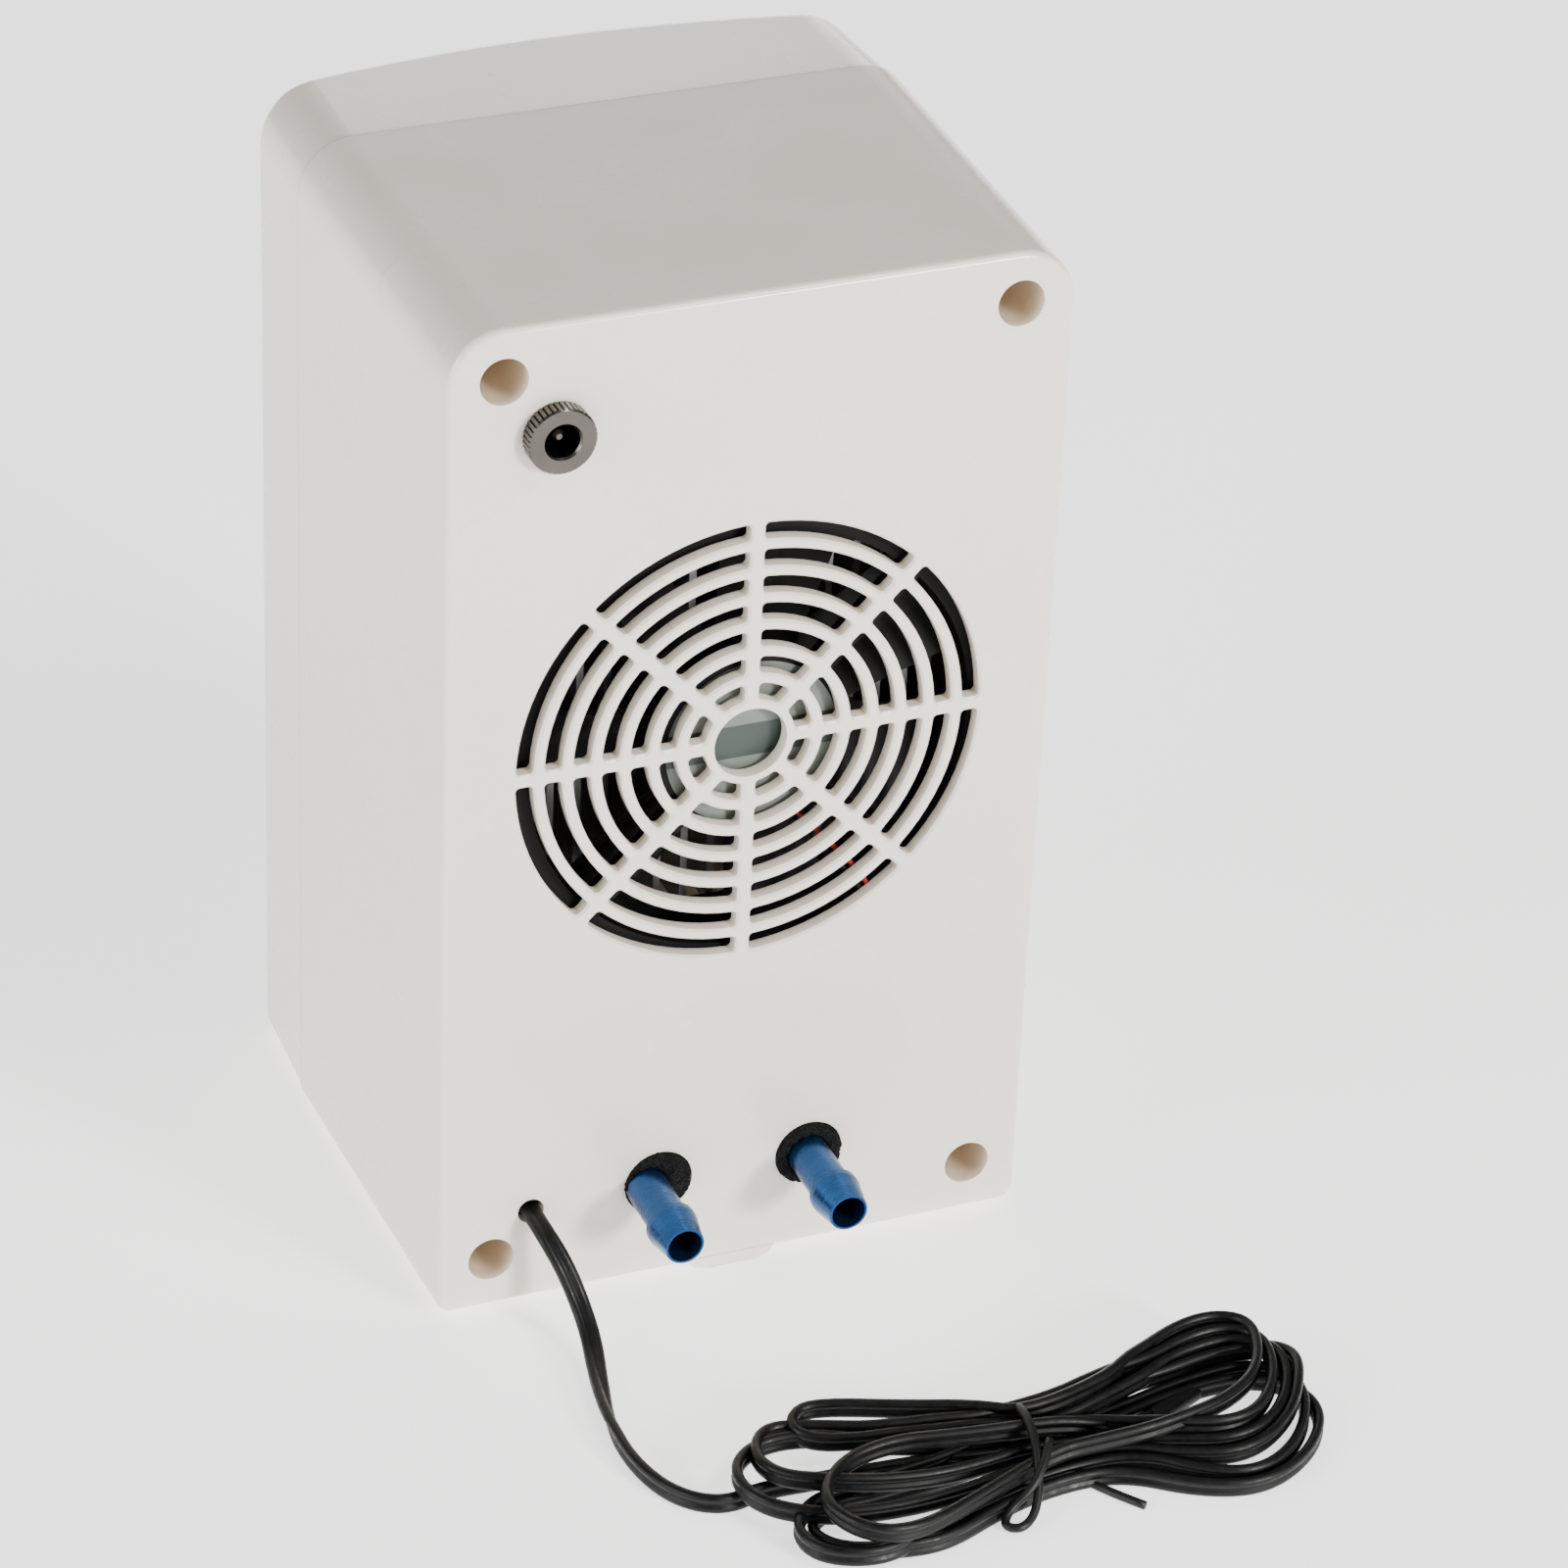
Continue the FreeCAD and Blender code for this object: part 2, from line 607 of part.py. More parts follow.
def screw(label, head, shank, head_height, length, drive="head / 2"):
    """A pan-head screw along -Y whose head rests at y = 0; lengths are formulas."""
    body = new_body(label)
    turned(body, [("0", head_height), (f"{head} * 0.8", head_height), (head, f"{head_height} * 0.5"),
                  (head, "0"),
                  (shank, "0"), (shank, f"-({length}) + 1"), (f"{shank} * 0.4", f"-({length})"),
                  ("0", f"-({length})")])
    cross = new_sketch(body, "XZ", z=f"-({head_height})")
    arm, half = f"{head} * 0.55", f"{head} * 0.11"
    rectangle(cross, f"-{arm}", arm, f"-{half}", half)
    feature(body, "Pocket", cross, reverse=True, Length=f"{head_height} * 0.7")
    upright = new_sketch(body, "XZ", z=f"-({head_height})")
    rectangle(upright, f"-{half}", half, f"-{arm}", arm)
    feature(body, "Pocket", upright, reverse=True, Length=f"{head_height} * 0.7")
    return body


def make_screws():
    """The four case screws, the four heat-sink screws, the four fan screws and the four board screws."""
    case = screw("case_screw", "case_screw_head", "case_screw_radius", "2.4", "case_screw_length - 4")
    finished(group("case_screws", case, [(x, "boss_end_y + boss_ledge", z) for x, z in CORNER_BOSSES]))
    fan = screw("fan_screw", "3.2", "1.6", "2", "18")
    corners = [(f"fan_x + {x} * fan_holes / 2", "fan_rear - 3.2", f"fan_z + {z} * fan_holes / 2")
               for x in (-1, 1) for z in (-1, 1)]
    finished(group("fan_screws", fan, corners))
    sink = screw("sink_screw", "2.8", "1.5", "2", "20")
    posts = [(f"-fan_x - {x} * sink_post_x", "-sink_front", f"fan_z + {z} * sink_post_z") for x in (-1, 1)
             for z in (-1, 1)]
    finished(faced_about("sink_screws", group("sink_screws_front", sink, posts)))
    board = screw("board_screw", "2.4", "1.25", "1.8", "6")
    places = [(f"{x} * (board_width / 2 - 5)", "board_front + board_thickness", z) for x in (-1, 1)
              for z in ("board_low + 5", "board_top - 5")]
    finished(group("board_screws", board, places))


def faced_about(label, thing):
    """A copy of a sub-part turned half way round the vertical axis through the origin."""
    turned_copy = doc.addObject("Part::Compound", label)
    turned_copy.Label = label
    turned_copy.Links = [thing]
    turned_copy.Placement = FreeCAD.Placement(Vector(0, 0, 0), FreeCAD.Rotation(Vector(0, 0, 1), 180))
    return turned_copy


# ---------------------------------------------------------------- cooling fan

FAN_CORNERS = [(f"{x} * fan_holes / 2", f"{z} * fan_holes / 2") for x in (-1, 1) for z in (-1, 1)]


def fan_body(label):
    """A body whose origin is on the fan's axis, at the fan's rear face."""
    return new_body(label, "fan_x", "fan_rear", "fan_z")


def make_fan_frame():
    """Square frame with a round duct, four struts to the hub plate and the post that holds the bearing."""
    body = fan_body("fan_frame")
    square = new_sketch(body, "XZ")
    rectangle(square, "-fan_size / 2", "fan_size / 2", "-fan_size / 2", "fan_size / 2")
    feature(body, "Pad", square, Length="fan_depth")
    fillet(body, "4", lambda e: e.BoundBox.YLength > 10 and e.BoundBox.DiagonalLength < 20)
    duct = new_sketch(body, "XZ")
    circle(duct, "0", "0", "fan_bore")
    feature(body, "Pocket", duct, reverse=True, Length="fan_depth + 1")
    strut = new_sketch(body, "XZ")
    outline(strut, [("10 - 1.3", "10 + 1.3"), ("10 + 1.3", "10 - 1.3"),
                    ("fan_bore * 0.72 + 1.3", "fan_bore * 0.72 - 1.3"),
                    ("fan_bore * 0.72 - 1.3", "fan_bore * 0.72 + 1.3")])
    arm = feature(body, "Pad", strut, Length="hub_plate_depth")
    polar(body, arm, strut, 4)
    plate = new_sketch(body, "XZ")
    circle(plate, "0", "0", "hub_plate_radius")
    feature(body, "Pad", plate, Length="hub_plate_depth")
    post = new_sketch(body, "XZ")
    circle(post, "0", "0", "bearing_post_radius")
    feature(body, "Pad", post, Length="9.5")
    seat = new_sketch(body, "XZ", z="9.5")
    circle(seat, "0", "0", "bearing_radius")
    feature(body, "Pocket", seat, Length="8.3")
    holes = new_sketch(body, "XZ")
    for x, z in FAN_CORNERS:
        circle(holes, x, z, "2.1")
    feature(body, "Pocket", holes, reverse=True, Length="fan_depth + 1")
    sinks = new_sketch(body, "XZ")
    for x, z in FAN_CORNERS:
        circle(sinks, x, z, "3.6")
    feature(body, "Pocket", sinks, reverse=True, Length="3.2")
    return finished(body)


def make_fan_inside():
    """Bearing, stator core, windings, ring board and the blank round label over the hub."""
    bearing = fan_body("fan_bearing")
    turned(bearing, [("shaft_radius + shaft_clearance", "-9.5"), ("bearing_radius", "-9.5"),
                     ("bearing_radius", "-2.2"),
                     ("shaft_radius + shaft_clearance", "-2.2")])
    finished(bearing)

    core = fan_body("fan_stator")
    disc = new_sketch(core, "XZ", z="4.5")
    circle(disc, "0", "0", "stator_radius")
    circle(disc, "0", "0", "bearing_post_radius")
    feature(core, "Pad", disc, Length="4.5")
    slot = new_sketch(core, "XZ", z="4.5")
    outline(slot, [("5.4", "-0.8"), ("stator_radius + 1", "-0.8"), ("stator_radius + 1", "0.8"),
                   ("10.4", "0.8"),
                   ("10.4", "3.6"), ("6.4", "2.2"), ("5.4", "0.8")])
    gap = feature(core, "Pocket", slot, reverse=True, Length="5")
    polar(core, gap, slot, 4)
    finished(core)

    coils = fan_body("fan_windings")
    coil = new_sketch(coils, "XZ", z="3.9")
    outline(coil, [("5.9", "2.6"), ("9.9", "4.1"), ("9.4", "6"), ("6", "5.4")])
    wound = feature(coils, "Pad", coil, Length="0.6")
    polar(coils, wound, coil, 4)
    finished(coils)

    ring = fan_body("fan_board")
    turned(ring, [("bearing_post_radius", "-3.9"), ("12.6", "-3.9"), ("12.6", "-3"),
                  ("bearing_post_radius", "-3")])
    finished(ring)

    label = fan_body("fan_label")
    turned(label, [("0", "0"), ("14.8", "0"), ("14.8", "0.15"), ("0", "0.15")])
    finished(label)


def make_fan_rotor():
    """Seven pitched blades round a cup, with the ring magnet and the shaft inside it."""
    rotor = fan_body("fan_rotor")
    rim = "-3.8"
    back = "-3.8 - cup_depth"
    turned(rotor, [("0", back), ("cup_radius - 1", back), ("cup_radius", f"{back} + 1"),
                   ("cup_radius", rim),
                   ("cup_radius - cup_wall", rim), ("cup_radius - cup_wall", f"{back} + 1.4"),
                   ("3", f"{back} + 1.4"),
                   ("3", "-10.1"), ("shaft_radius", "-10.1"), ("shaft_radius", f"{back} + 1"),
                   ("0", f"{back} + 1")])
    root = new_sketch(rotor, "YZ", z="cup_radius - cup_wall + 0.2")
    outline(root, [("-13", "-5.2"), ("-13 + blade_thickness", "-5.2 - 0.4"), ("-8.4", "0.6"),
                   ("-4.2", "5.2"), ("-5.2", "5.9"), ("-9.4", "1.4")])
    tip = new_sketch(rotor, "YZ", z="blade_tip")
    outline(tip, [("-12.4", "-9.6"), ("-12.4 + blade_thickness", "-10"), ("-8.6", "0.4"), ("-5", "8.6"),
                  ("-6", "9.2"), ("-9.6", "1")])
    blade = rotor.newObject("PartDesign::AdditiveLoft", "fan_rotor_blade")
    blade.Profile = root
    blade.Sections = [tip]
    blade.Ruled = True
    axis = new_sketch(rotor, "XZ")
    circle(axis, "0", "0", "1")
    polar(rotor, blade, axis, 7)
    finished(rotor)

    magnet = fan_body("fan_magnet")
    inner = "cup_radius - cup_wall - magnet_thickness"
    turned(magnet, [(inner, "-4.6 - magnet_depth"), ("cup_radius - cup_wall", "-4.6 - magnet_depth"),
                    ("cup_radius - cup_wall", "-4.6"), (inner, "-4.6")])
    finished(magnet)

    shaft = fan_body("fan_shaft")
    turned(shaft, [("0", "-12.6"), ("shaft_radius", "-12.6"), ("shaft_radius", "-2.2"),
                   ("shaft_radius - 0.3", "-1.8"), ("0", "-1.8")])
    finished(shaft)


# ---------------------------------------------------------------- heat path

def make_heat_sink():
    """Extruded aluminium sink: a base plate and upright fins that end just short of the fan."""
    body = new_body("heat_sink", "fan_x", "sink_front", "fan_z")
    plate = new_sketch(body, "XZ")
    rectangle(plate, "-sink_width / 2", "sink_width / 2", "-sink_height / 2", "sink_height / 2")
    feature(body, "Pad", plate, reverse=True, Length="sink_base")
    fin = new_sketch(body, "XZ", z="-sink_base + 0.5")
    left = "-9 * fin_pitch"
    rectangle(fin, f"{left} - fin_thickness / 2", f"{left} + fin_thickness / 2", "-fin_run / 2",
              "fin_run / 2")
    blade = feature(body, "Pad", fin, reverse=True, Length="fin_height + 0.5")
    in_a_row(body, blade, fin, "H_Axis", "fin_pitch", 19)
    holes = new_sketch(body, "XZ")
    for x in (-1, 1):
        for z in (-1, 1):
            circle(holes, f"{x} * sink_post_x", f"{z} * sink_post_z", "1.7")
        circle(holes, f"{x} * clamp_reach - fan_x", "0", "1.9")
    feature(body, "Pocket", holes, Length="sink_base + 1")
    return finished(body)


def make_cold_side():
    """Thermoelectric module, its two thermal pads, the water block, its plugs, foam and clamp."""
    half = "module_size / 2"
    stack = [("thermal_pad_hot", "sink_front", "pad_thickness"),
             ("peltier_module", "sink_front - pad_thickness", "module_thickness"),
             ("thermal_pad_cold", "sink_front - pad_thickness - module_thickness", "pad_thickness")]
    for label, top, thickness in stack:
        layer = new_body(label, "0", top, "fan_z")
        square = new_sketch(layer, "XZ")
        rectangle(square, f"-{half}", half, f"-{half}", half)
        feature(layer, "Pad", square, Length=thickness)
        finished(layer)

    face = "sink_front - 2 * pad_thickness - module_thickness"
    block = new_body("water_block", "barb_middle", face)
    solid = new_sketch(block, "XZ")
    rectangle(solid, "-block_width / 2", "block_width / 2", "block_low", "block_top")
    feature(block, "Pad", solid, Length="block_thickness")
    fillet(block, "1.5", lambda e: e.BoundBox.YLength > 10 and e.BoundBox.DiagonalLength < 20)
    ports = new_sketch(block, "XZ")
    for side in (-1, 1):
        circle(ports, f"{side} * barb_spread", "barb_z", "5.1")
    feature(block, "Pocket", ports, reverse=True, Length="9")
    rise = new_sketch(block, "XY", y="0", z="block_low")
    for side in (-1, 1):
        circle(rise, f"{side} * barb_spread", "-block_thickness / 2", "3.5")
    feature(block, "Pocket", rise, reverse=True, Length="block_top - block_low - 8")
    across = new_sketch(block, "YZ", y="block_top - 12", z="block_width / 2")
    circle(across, "-block_thickness / 2", "0", "3.5")
    feature(block, "Pocket", across, Length="block_width / 2 + barb_spread + 3")
    finished(block)

    plugs = new_body("channel_plugs", "barb_middle", face)
    ends = new_sketch(plugs, "XY", z="block_low")
    for side in (-1, 1):
        circle(ends, f"{side} * barb_spread", "-block_thickness / 2", "3.45")
    feature(plugs, "Pad", ends, Length="plug_length")
    side_end = new_sketch(plugs, "YZ", y="block_top - 12", z="block_width / 2 - plug_length")
    circle(side_end, "-block_thickness / 2", "0", "3.45")
    feature(plugs, "Pad", side_end, Length="plug_length")
    finished(plugs)

    foam = new_body("block_insulation", "barb_middle", face)
    wrap = new_sketch(foam, "XZ", z="-0")
    rectangle(wrap, "-block_width / 2 - foam_thickness", "block_width / 2 + foam_thickness",
              "block_low - foam_thickness",
              "block_top + foam_thickness")
    feature(foam, "Pad", wrap, Length="block_thickness + foam_thickness")
    inside = new_sketch(foam, "XZ")
    rectangle(inside, "-block_width / 2", "block_width / 2", "block_low", "block_top")
    feature(foam, "Pocket", inside, reverse=True, Length="block_thickness")
    notch = new_sketch(foam, "XZ", z="block_thickness")
    rectangle(notch, "-block_width", "block_width", "fan_z - clamp_height / 2 - 0.3",
              "fan_z + clamp_height / 2 + 0.3")
    feature(foam, "Pocket", notch, reverse=True, Length="foam_thickness + 1")
    finished(foam)

    bar = new_body("clamp_bar", "0", f"{face} - block_thickness", "fan_z")
    strap = new_sketch(bar, "XZ")
    rectangle(strap, "-clamp_reach - 5", "clamp_reach + 5", "-clamp_height / 2", "clamp_height / 2")
    feature(bar, "Pad", strap, Length="clamp_thickness")
    fillet(bar, "2", lambda e: e.BoundBox.YLength > 2 and e.BoundBox.DiagonalLength < 4)
    holes = new_sketch(bar, "XZ")
    for side in (-1, 1):
        circle(holes, f"{side} * clamp_reach", "0", "2.2")
    feature(bar, "Pocket", holes, reverse=True, Length="clamp_thickness + 1")
    finished(bar)

    bolt = screw("clamp_screw", "3.6", "1.85", "2.6", "26")
    heads = [(f"{side} * clamp_reach", f"-({face}) + block_thickness + clamp_thickness", "fan_z")
             for side in (-1, 1)]
    finished(faced_about("clamp_screws", group("clamp_screws_front", bolt, heads)))


def make_hose_side():
    """Two long barbs screwed into the water block, their sealing rings and the foam round them."""
    face = "sink_front - 2 * pad_thickness - module_thickness"
    for label, side in (("left", 1), ("right", -1)):
        x = f"barb_middle + {side} * barb_spread"
        barb = new_body(f"hose_barb_{label}", x, "0", "barb_z")
        crest = "barb_tip_y - crest_back"
        turned(barb, [("barb_bore", f"{face} - 8.5"), ("5", f"{face} - 8.5"), ("5", face),
                      ("5", f"{face} + 2"), ("6.5", f"{face} + 2"),
                      ("6.5", f"{face} + 6"), ("barb_tube", f"{face} + 6"),
                      ("barb_tube", f"{crest} - 0.9"), ("barb_crest", crest),
                      ("barb_crest", f"{crest} + crest_land"), ("barb_tip", "barb_tip_y"),
                      ("barb_bore", "barb_tip_y")])
        finished(barb)
        sleeve = new_body(f"foam_sleeve_{label}", f"{side} * hose_hole_x", "rear_y + foam_proud", "barb_z")
        ring = new_sketch(sleeve, "XZ")
        circle(ring, "0", "0", "hose_hole_radius - 0.05")
        feature(sleeve, "Pad", ring, Length="18")
        bore = new_sketch(sleeve, "XZ")
        circle(bore, f"{x} - {side} * hose_hole_x", "0", "barb_tube + 0.05")
        feature(sleeve, "Pocket", bore, reverse=True, Length="19")
        finished(sleeve)
    rings = new_body("barb_seals", "barb_middle", face, "barb_z")
    for side in (-1, 1):
        seal = new_sketch(rings, "XZ")
        circle(seal, f"{side} * barb_spread", "0", "6.4")
        circle(seal, f"{side} * barb_spread", "0", "5.05")
        feature(rings, "Pad", seal, reverse=True, Length="2")
    finished(rings)


# ---------------------------------------------------------------- power socket

def jack_body(label):
    """A body whose origin is on the socket's axis, at the case's rear face."""
    return new_body(label, "jack_x", "rear_y", "jack_z")


def make_power_jack():
    """Panel socket: threaded barrel, knurled ring outside, nut inside, moulded end and centre pin."""
    barrel = jack_body("power_jack_barrel")
    turned(barrel, [("jack_bore", "-jack_depth"), ("jack_thread", "-jack_depth"),
                    ("jack_thread", "jack_proud"),
                    ("jack_bore + 0.3", "jack_proud"), ("jack_bore", "jack_proud - 0.4")])
    finished(barrel)
    ring = jack_body("power_jack_ring")
    turned(ring, [("jack_thread", "0"), ("jack_ring", "0"), ("jack_ring", "jack_proud - 0.3"),
                  ("jack_ring - 0.3", "jack_proud"),
                  ("jack_thread", "jack_proud")])
    groove = new_sketch(ring, "XZ")
    outline(groove, [("jack_ring - 0.3", "0"), ("jack_ring + 0.3", "-0.35"), ("jack_ring + 0.3", "0.35")])
    knurl = feature(ring, "Pocket", groove, Length="jack_proud")
    polar(ring, knurl, groove, 40)
    finished(ring)
    nut = jack_body("power_jack_nut")
    hexagon = new_sketch(nut, "XZ", z="case_wall")
    corners = [(f"6.2 * cos({60 * i})", f"6.2 * sin({60 * i})") for i in range(6)]
    outline(hexagon, corners)
    circle(hexagon, "0", "0", "jack_thread")
    feature(nut, "Pad", hexagon, Length="2.6")
    finished(nut)
    base = jack_body("power_jack_base")
    turned(base, [("jack_pin", "-jack_depth - 3"), ("5.4", "-jack_depth - 3"), ("5.4", "-jack_depth"),
                  ("jack_bore", "-jack_depth"),
                  ("jack_bore", "-jack_depth + 2"), ("jack_pin", "-jack_depth + 2")])
    finished(base)
    pin = jack_body("power_jack_pin")
    turned(pin, [("0", "-jack_depth - 6"), ("jack_pin", "-jack_depth - 6"),
                 ("jack_pin", "jack_proud - 2.5"),
                 ("jack_pin * 0.5", "jack_proud - 2"), ("0", "jack_proud - 2")])
    finished(pin)


# ---------------------------------------------------------------- display, buttons and board

def make_front_controls():
    """Smoked display window, three sprung push buttons and the board with its parts."""
    window = new_body("display_window")
    band = new_sketch(window, "XY", z="window_z")
    circle(band, "0", "front_y + front_radius", "front_radius - 0.3")
    circle(band, "0", "front_y + front_radius", "front_radius - 0.3 - window_thickness")
    feature(window, "Pad", band, Length="window_height - 0.2").Midplane = True
    sides = new_sketch(window, "XY", z="window_z")
    rectangle(sides, "-window_width / 2 + 0.1", "window_width / 2 - 0.1", "front_y - 5", "front_y + 9")
    rectangle(sides, "-300", "300", "front_y - 9", "front_y + 3 * front_radius")
    trim = feature(window, "Pocket", sides, Length="window_height + 2")
    trim.Midplane = True
    fillet(window, "window_corner", lambda e: e.BoundBox.YLength > 1.5 and e.BoundBox.DiagonalLength < 3)
    finished(window)

    for label, place in (("set", "-button_x"), ("up", "0"), ("down", "button_x")):
        rise = "0" if place == "0" else HALF_FRONT_RISE
        button = new_body(f"button_{label}", place, f"front_y + {rise}", "button_z")
        turned(button, [("0", "-0.5"), ("button_radius - 0.8", "-0.5"), ("button_radius", "0.2"),
                        ("button_radius", "case_wall + 1.1"),
                        ("button_radius + 1", "case_wall + 1.1"), ("button_radius + 1", "case_wall + 2"),
                        ("1.6", "case_wall + 2"),
                        ("1.6", f"7 - {rise}"), ("0", f"7 - {rise}")])
        finished(button)

    board = new_body("control_board", "0", "board_front")
    sheet_outline = new_sketch(board, "XZ")
    rectangle(sheet_outline, "-board_width / 2", "board_width / 2", "board_low", "board_top")
    feature(board, "Pad", sheet_outline, reverse=True, Length="board_thickness")
    holes = new_sketch(board, "XZ")
    for x in (-1, 1):
        for z in ("board_low + 5", "board_top - 5"):
            circle(holes, f"{x} * (board_width / 2 - 5)", z, "1.4")
    feature(board, "Pocket", holes, Length="board_thickness + 1")
    finished(board)

    display = new_body("display_module", "0", "board_front", "window_z")
    case = new_sketch(display, "XZ")
    rectangle(case, "-18.8", "18.8", "-9.5", "9.5")
    feature(display, "Pad", case, Length="8")
    finished(display)

    switches = new_body("tact_switches", "0", "board_front", "button_z")
    for place in ("-button_x", "0", "button_x"):
        frame = new_sketch(switches, "XZ")
        rectangle(frame, f"{place} - 3", f"{place} + 3", "-3", "3")
        feature(switches, "Pad", frame, Length="3.4")
        plunger = new_sketch(switches, "XZ", z="3.3")
        circle(plunger, place, "0", "1.7")
        feature(switches, "Pad", plunger, Length="0.8")
    finished(switches)

    rear = "board_front + board_thickness"
    for label, boxes in (
        ("relay", [("-34", "-18.5", "132", "147.5", "13")]),
        ("terminal_blocks", [("8", "23", "154", "163", "10"), ("26", "36", "140", "149", "9")]),
        ("power_transistor", [("-8", "2.5", "150", "159", "4.6")]),
    ):
        part = new_body(label, "0", rear)
        for left, right, low, high, height in boxes:
            block = new_sketch(part, "XZ")
            rectangle(block, left, right, low, high)
            feature(part, "Pad", block, reverse=True, Length=height)
        finished(part)
    cans = new_body("capacitors", "0", rear)
    for x, z, radius, height in (("-10", "140", "5", "16"), ("2", "138", "4", "11")):
        can = new_sketch(cans, "XZ")
        circle(can, x, z, radius)
        feature(cans, "Pad", can, reverse=True, Length=height)
    finished(cans)
    buzzer = new_body("buzzer", "16", rear, "138")
    turned(buzzer, [("1", "0"), ("6", "0"), ("6", "8.5"), ("1", "8.5")])
    finished(buzzer)


# ---------------------------------------------------------------- wires and the sensor lead

def tube(label, points, radius):
    """A round tube along straight runs joined by tangent arcs, each as large as its runs allow."""
    points = [Vector(*point) for point in points]
    edges, here, bends, length = [], points[0], [], 0.0
    for before, corner, after in zip(points, points[1:], points[2:]):
        into, out = (corner - before), (after - corner)
        turn = into.getAngle(out)
        reach = 0.45 * min(into.Length, out.Length)
        into, out = into.normalize(), out.normalize()
        start, end = corner - into * reach, corner + out * reach
        bend = reach / math.tan(turn / 2)
        bulge = bend * (1 / math.cos(turn / 2) - 1)
        middle = corner + (out - into).normalize() * bulge
        edges.append(Part.LineSegment(here, start).toShape())
        edges.append(Part.Arc(start, middle, end).toShape())
        length += (start - here).Length + bend * turn
        bends.append(round(bend, 1))
        here = end
    edges.append(Part.LineSegment(here, points[-1]).toShape())
    length += (points[-1] - here).Length
    path = Part.Wire(edges)
    section = Part.Wire(Part.Circle(points[0], points[1] - points[0], radius).toShape())
    solid = path.makePipeShell([section], True, True)
    expected = math.pi * radius ** 2 * length
    print(f"{label}: {length:.0f} mm long, bend radii {bends},",
          f"volume {solid.Volume / expected:.4f} of section x length")
    return solid


def wires(label, routes, radius):
    made = doc.addObject("Part::Feature", label)
    made.Label = label
    solids = [tube(label, route, radius) for route in routes]
    made.Shape = solids[0] if len(solids) == 1 else Part.makeCompound(solids)
    return finished(made)


# Centre of the free sensor lead, from the lead stop inside the wall to the hank on the floor.
LEAD_ROUTE = [(36.1, 38.0, 19.3), (36.1, 44.6, 19.3), (33.8, 49.4, 14.6), (31.6, 51.6, 8.0),
              (31.2, 57.0, 3.6), (33.2, 65.5, 1.9), (35.6, 77.0, 1.8), (35.8, 89.0, 1.8),
              (32.4, 99.0, 1.8), (25.6, 103.8, 1.8), (17.0, 101.0, 1.8)]
# The wire tie: one tail on the floor, once round the waist of the hank, a loop and the other tail.
TIE_ROUTE = [(-38.5, 124.5, 0.8), (-34.5, 119.5, 0.8), (-30.5, 112.5, 0.8), (-27.5, 105.0, 0.8),
             (-26.0, 100.6, 3.6), (-25.0, 102.6, 9.0), (-24.6, 108.0, 10.0), (-23.8, 113.6, 8.6),
             (-22.2, 118.8, 4.8), (-20.2, 122.0, 1.7), (-17.0, 123.8, 1.0), (-14.6, 122.0, 1.0),
             (-16.8, 119.8, 2.4), (-20.4, 119.4, 4.8), (-23.6, 117.2, 7.2), (-26.2, 113.2, 9.0)]


def make_lead():
    """The sensor lead: stop behind the wall, free run, tied hank on the floor and the sealed probe."""
    stop = new_body("lead_stop", "lead_x", "rear_y - case_wall", "lead_z")
    turned(stop, [("0", "-4"), ("2.8", "-4"), ("3.6", "-3.2"), ("3.6", "0"), ("0", "0")])
    finished(stop)
    # A round section with the area of the lead's two cores stands for it.
    radius = size("lead_thickness") / math.sqrt(2)
    wires("sensor_lead", [LEAD_ROUTE], radius)
    wires("sensor_lead_inner", [[(36.1, 34, 19.3), (36.1, 20, 19.3), (38.5, 0, 24), (40, -20, 50),
                                 (40, -33, 88), (34, -38, 117),
                                 (34, -45.4, 117)]], radius)
    wires("lead_tie", [TIE_ROUTE], size("tie_radius"))

    hank = new_body("sensor_lead_hank")
    for across, back, radius in (("3", "107", "17.5"), ("-57", "110.5", "19.5")):
        lobe = new_sketch(hank, "XY")
        circle(lobe, across, back, radius)
        feature(hank, "Pad", lobe, Length="hank_height")
    waist = new_sketch(hank, "XY")
    rectangle(waist, "-44", "-12", "102", "118")
    feature(hank, "Pad", waist, Length="hank_height")
    finished(hank)

    probe = new_body("sensor_probe", "-48", "105.5", "probe_radius")
    probe.Placement = FreeCAD.Placement(Vector(0, 0, 0), FreeCAD.Rotation(Vector(0, 0, 1), 115))
    turned(probe, [("0", "0"), ("probe_radius - 0.5", "0"), ("probe_radius", "0.8"),
                   ("probe_radius", "probe_length - 0.8"),
                   ("probe_radius - 0.5", "probe_length"), ("0", "probe_length")])
    finished(probe)


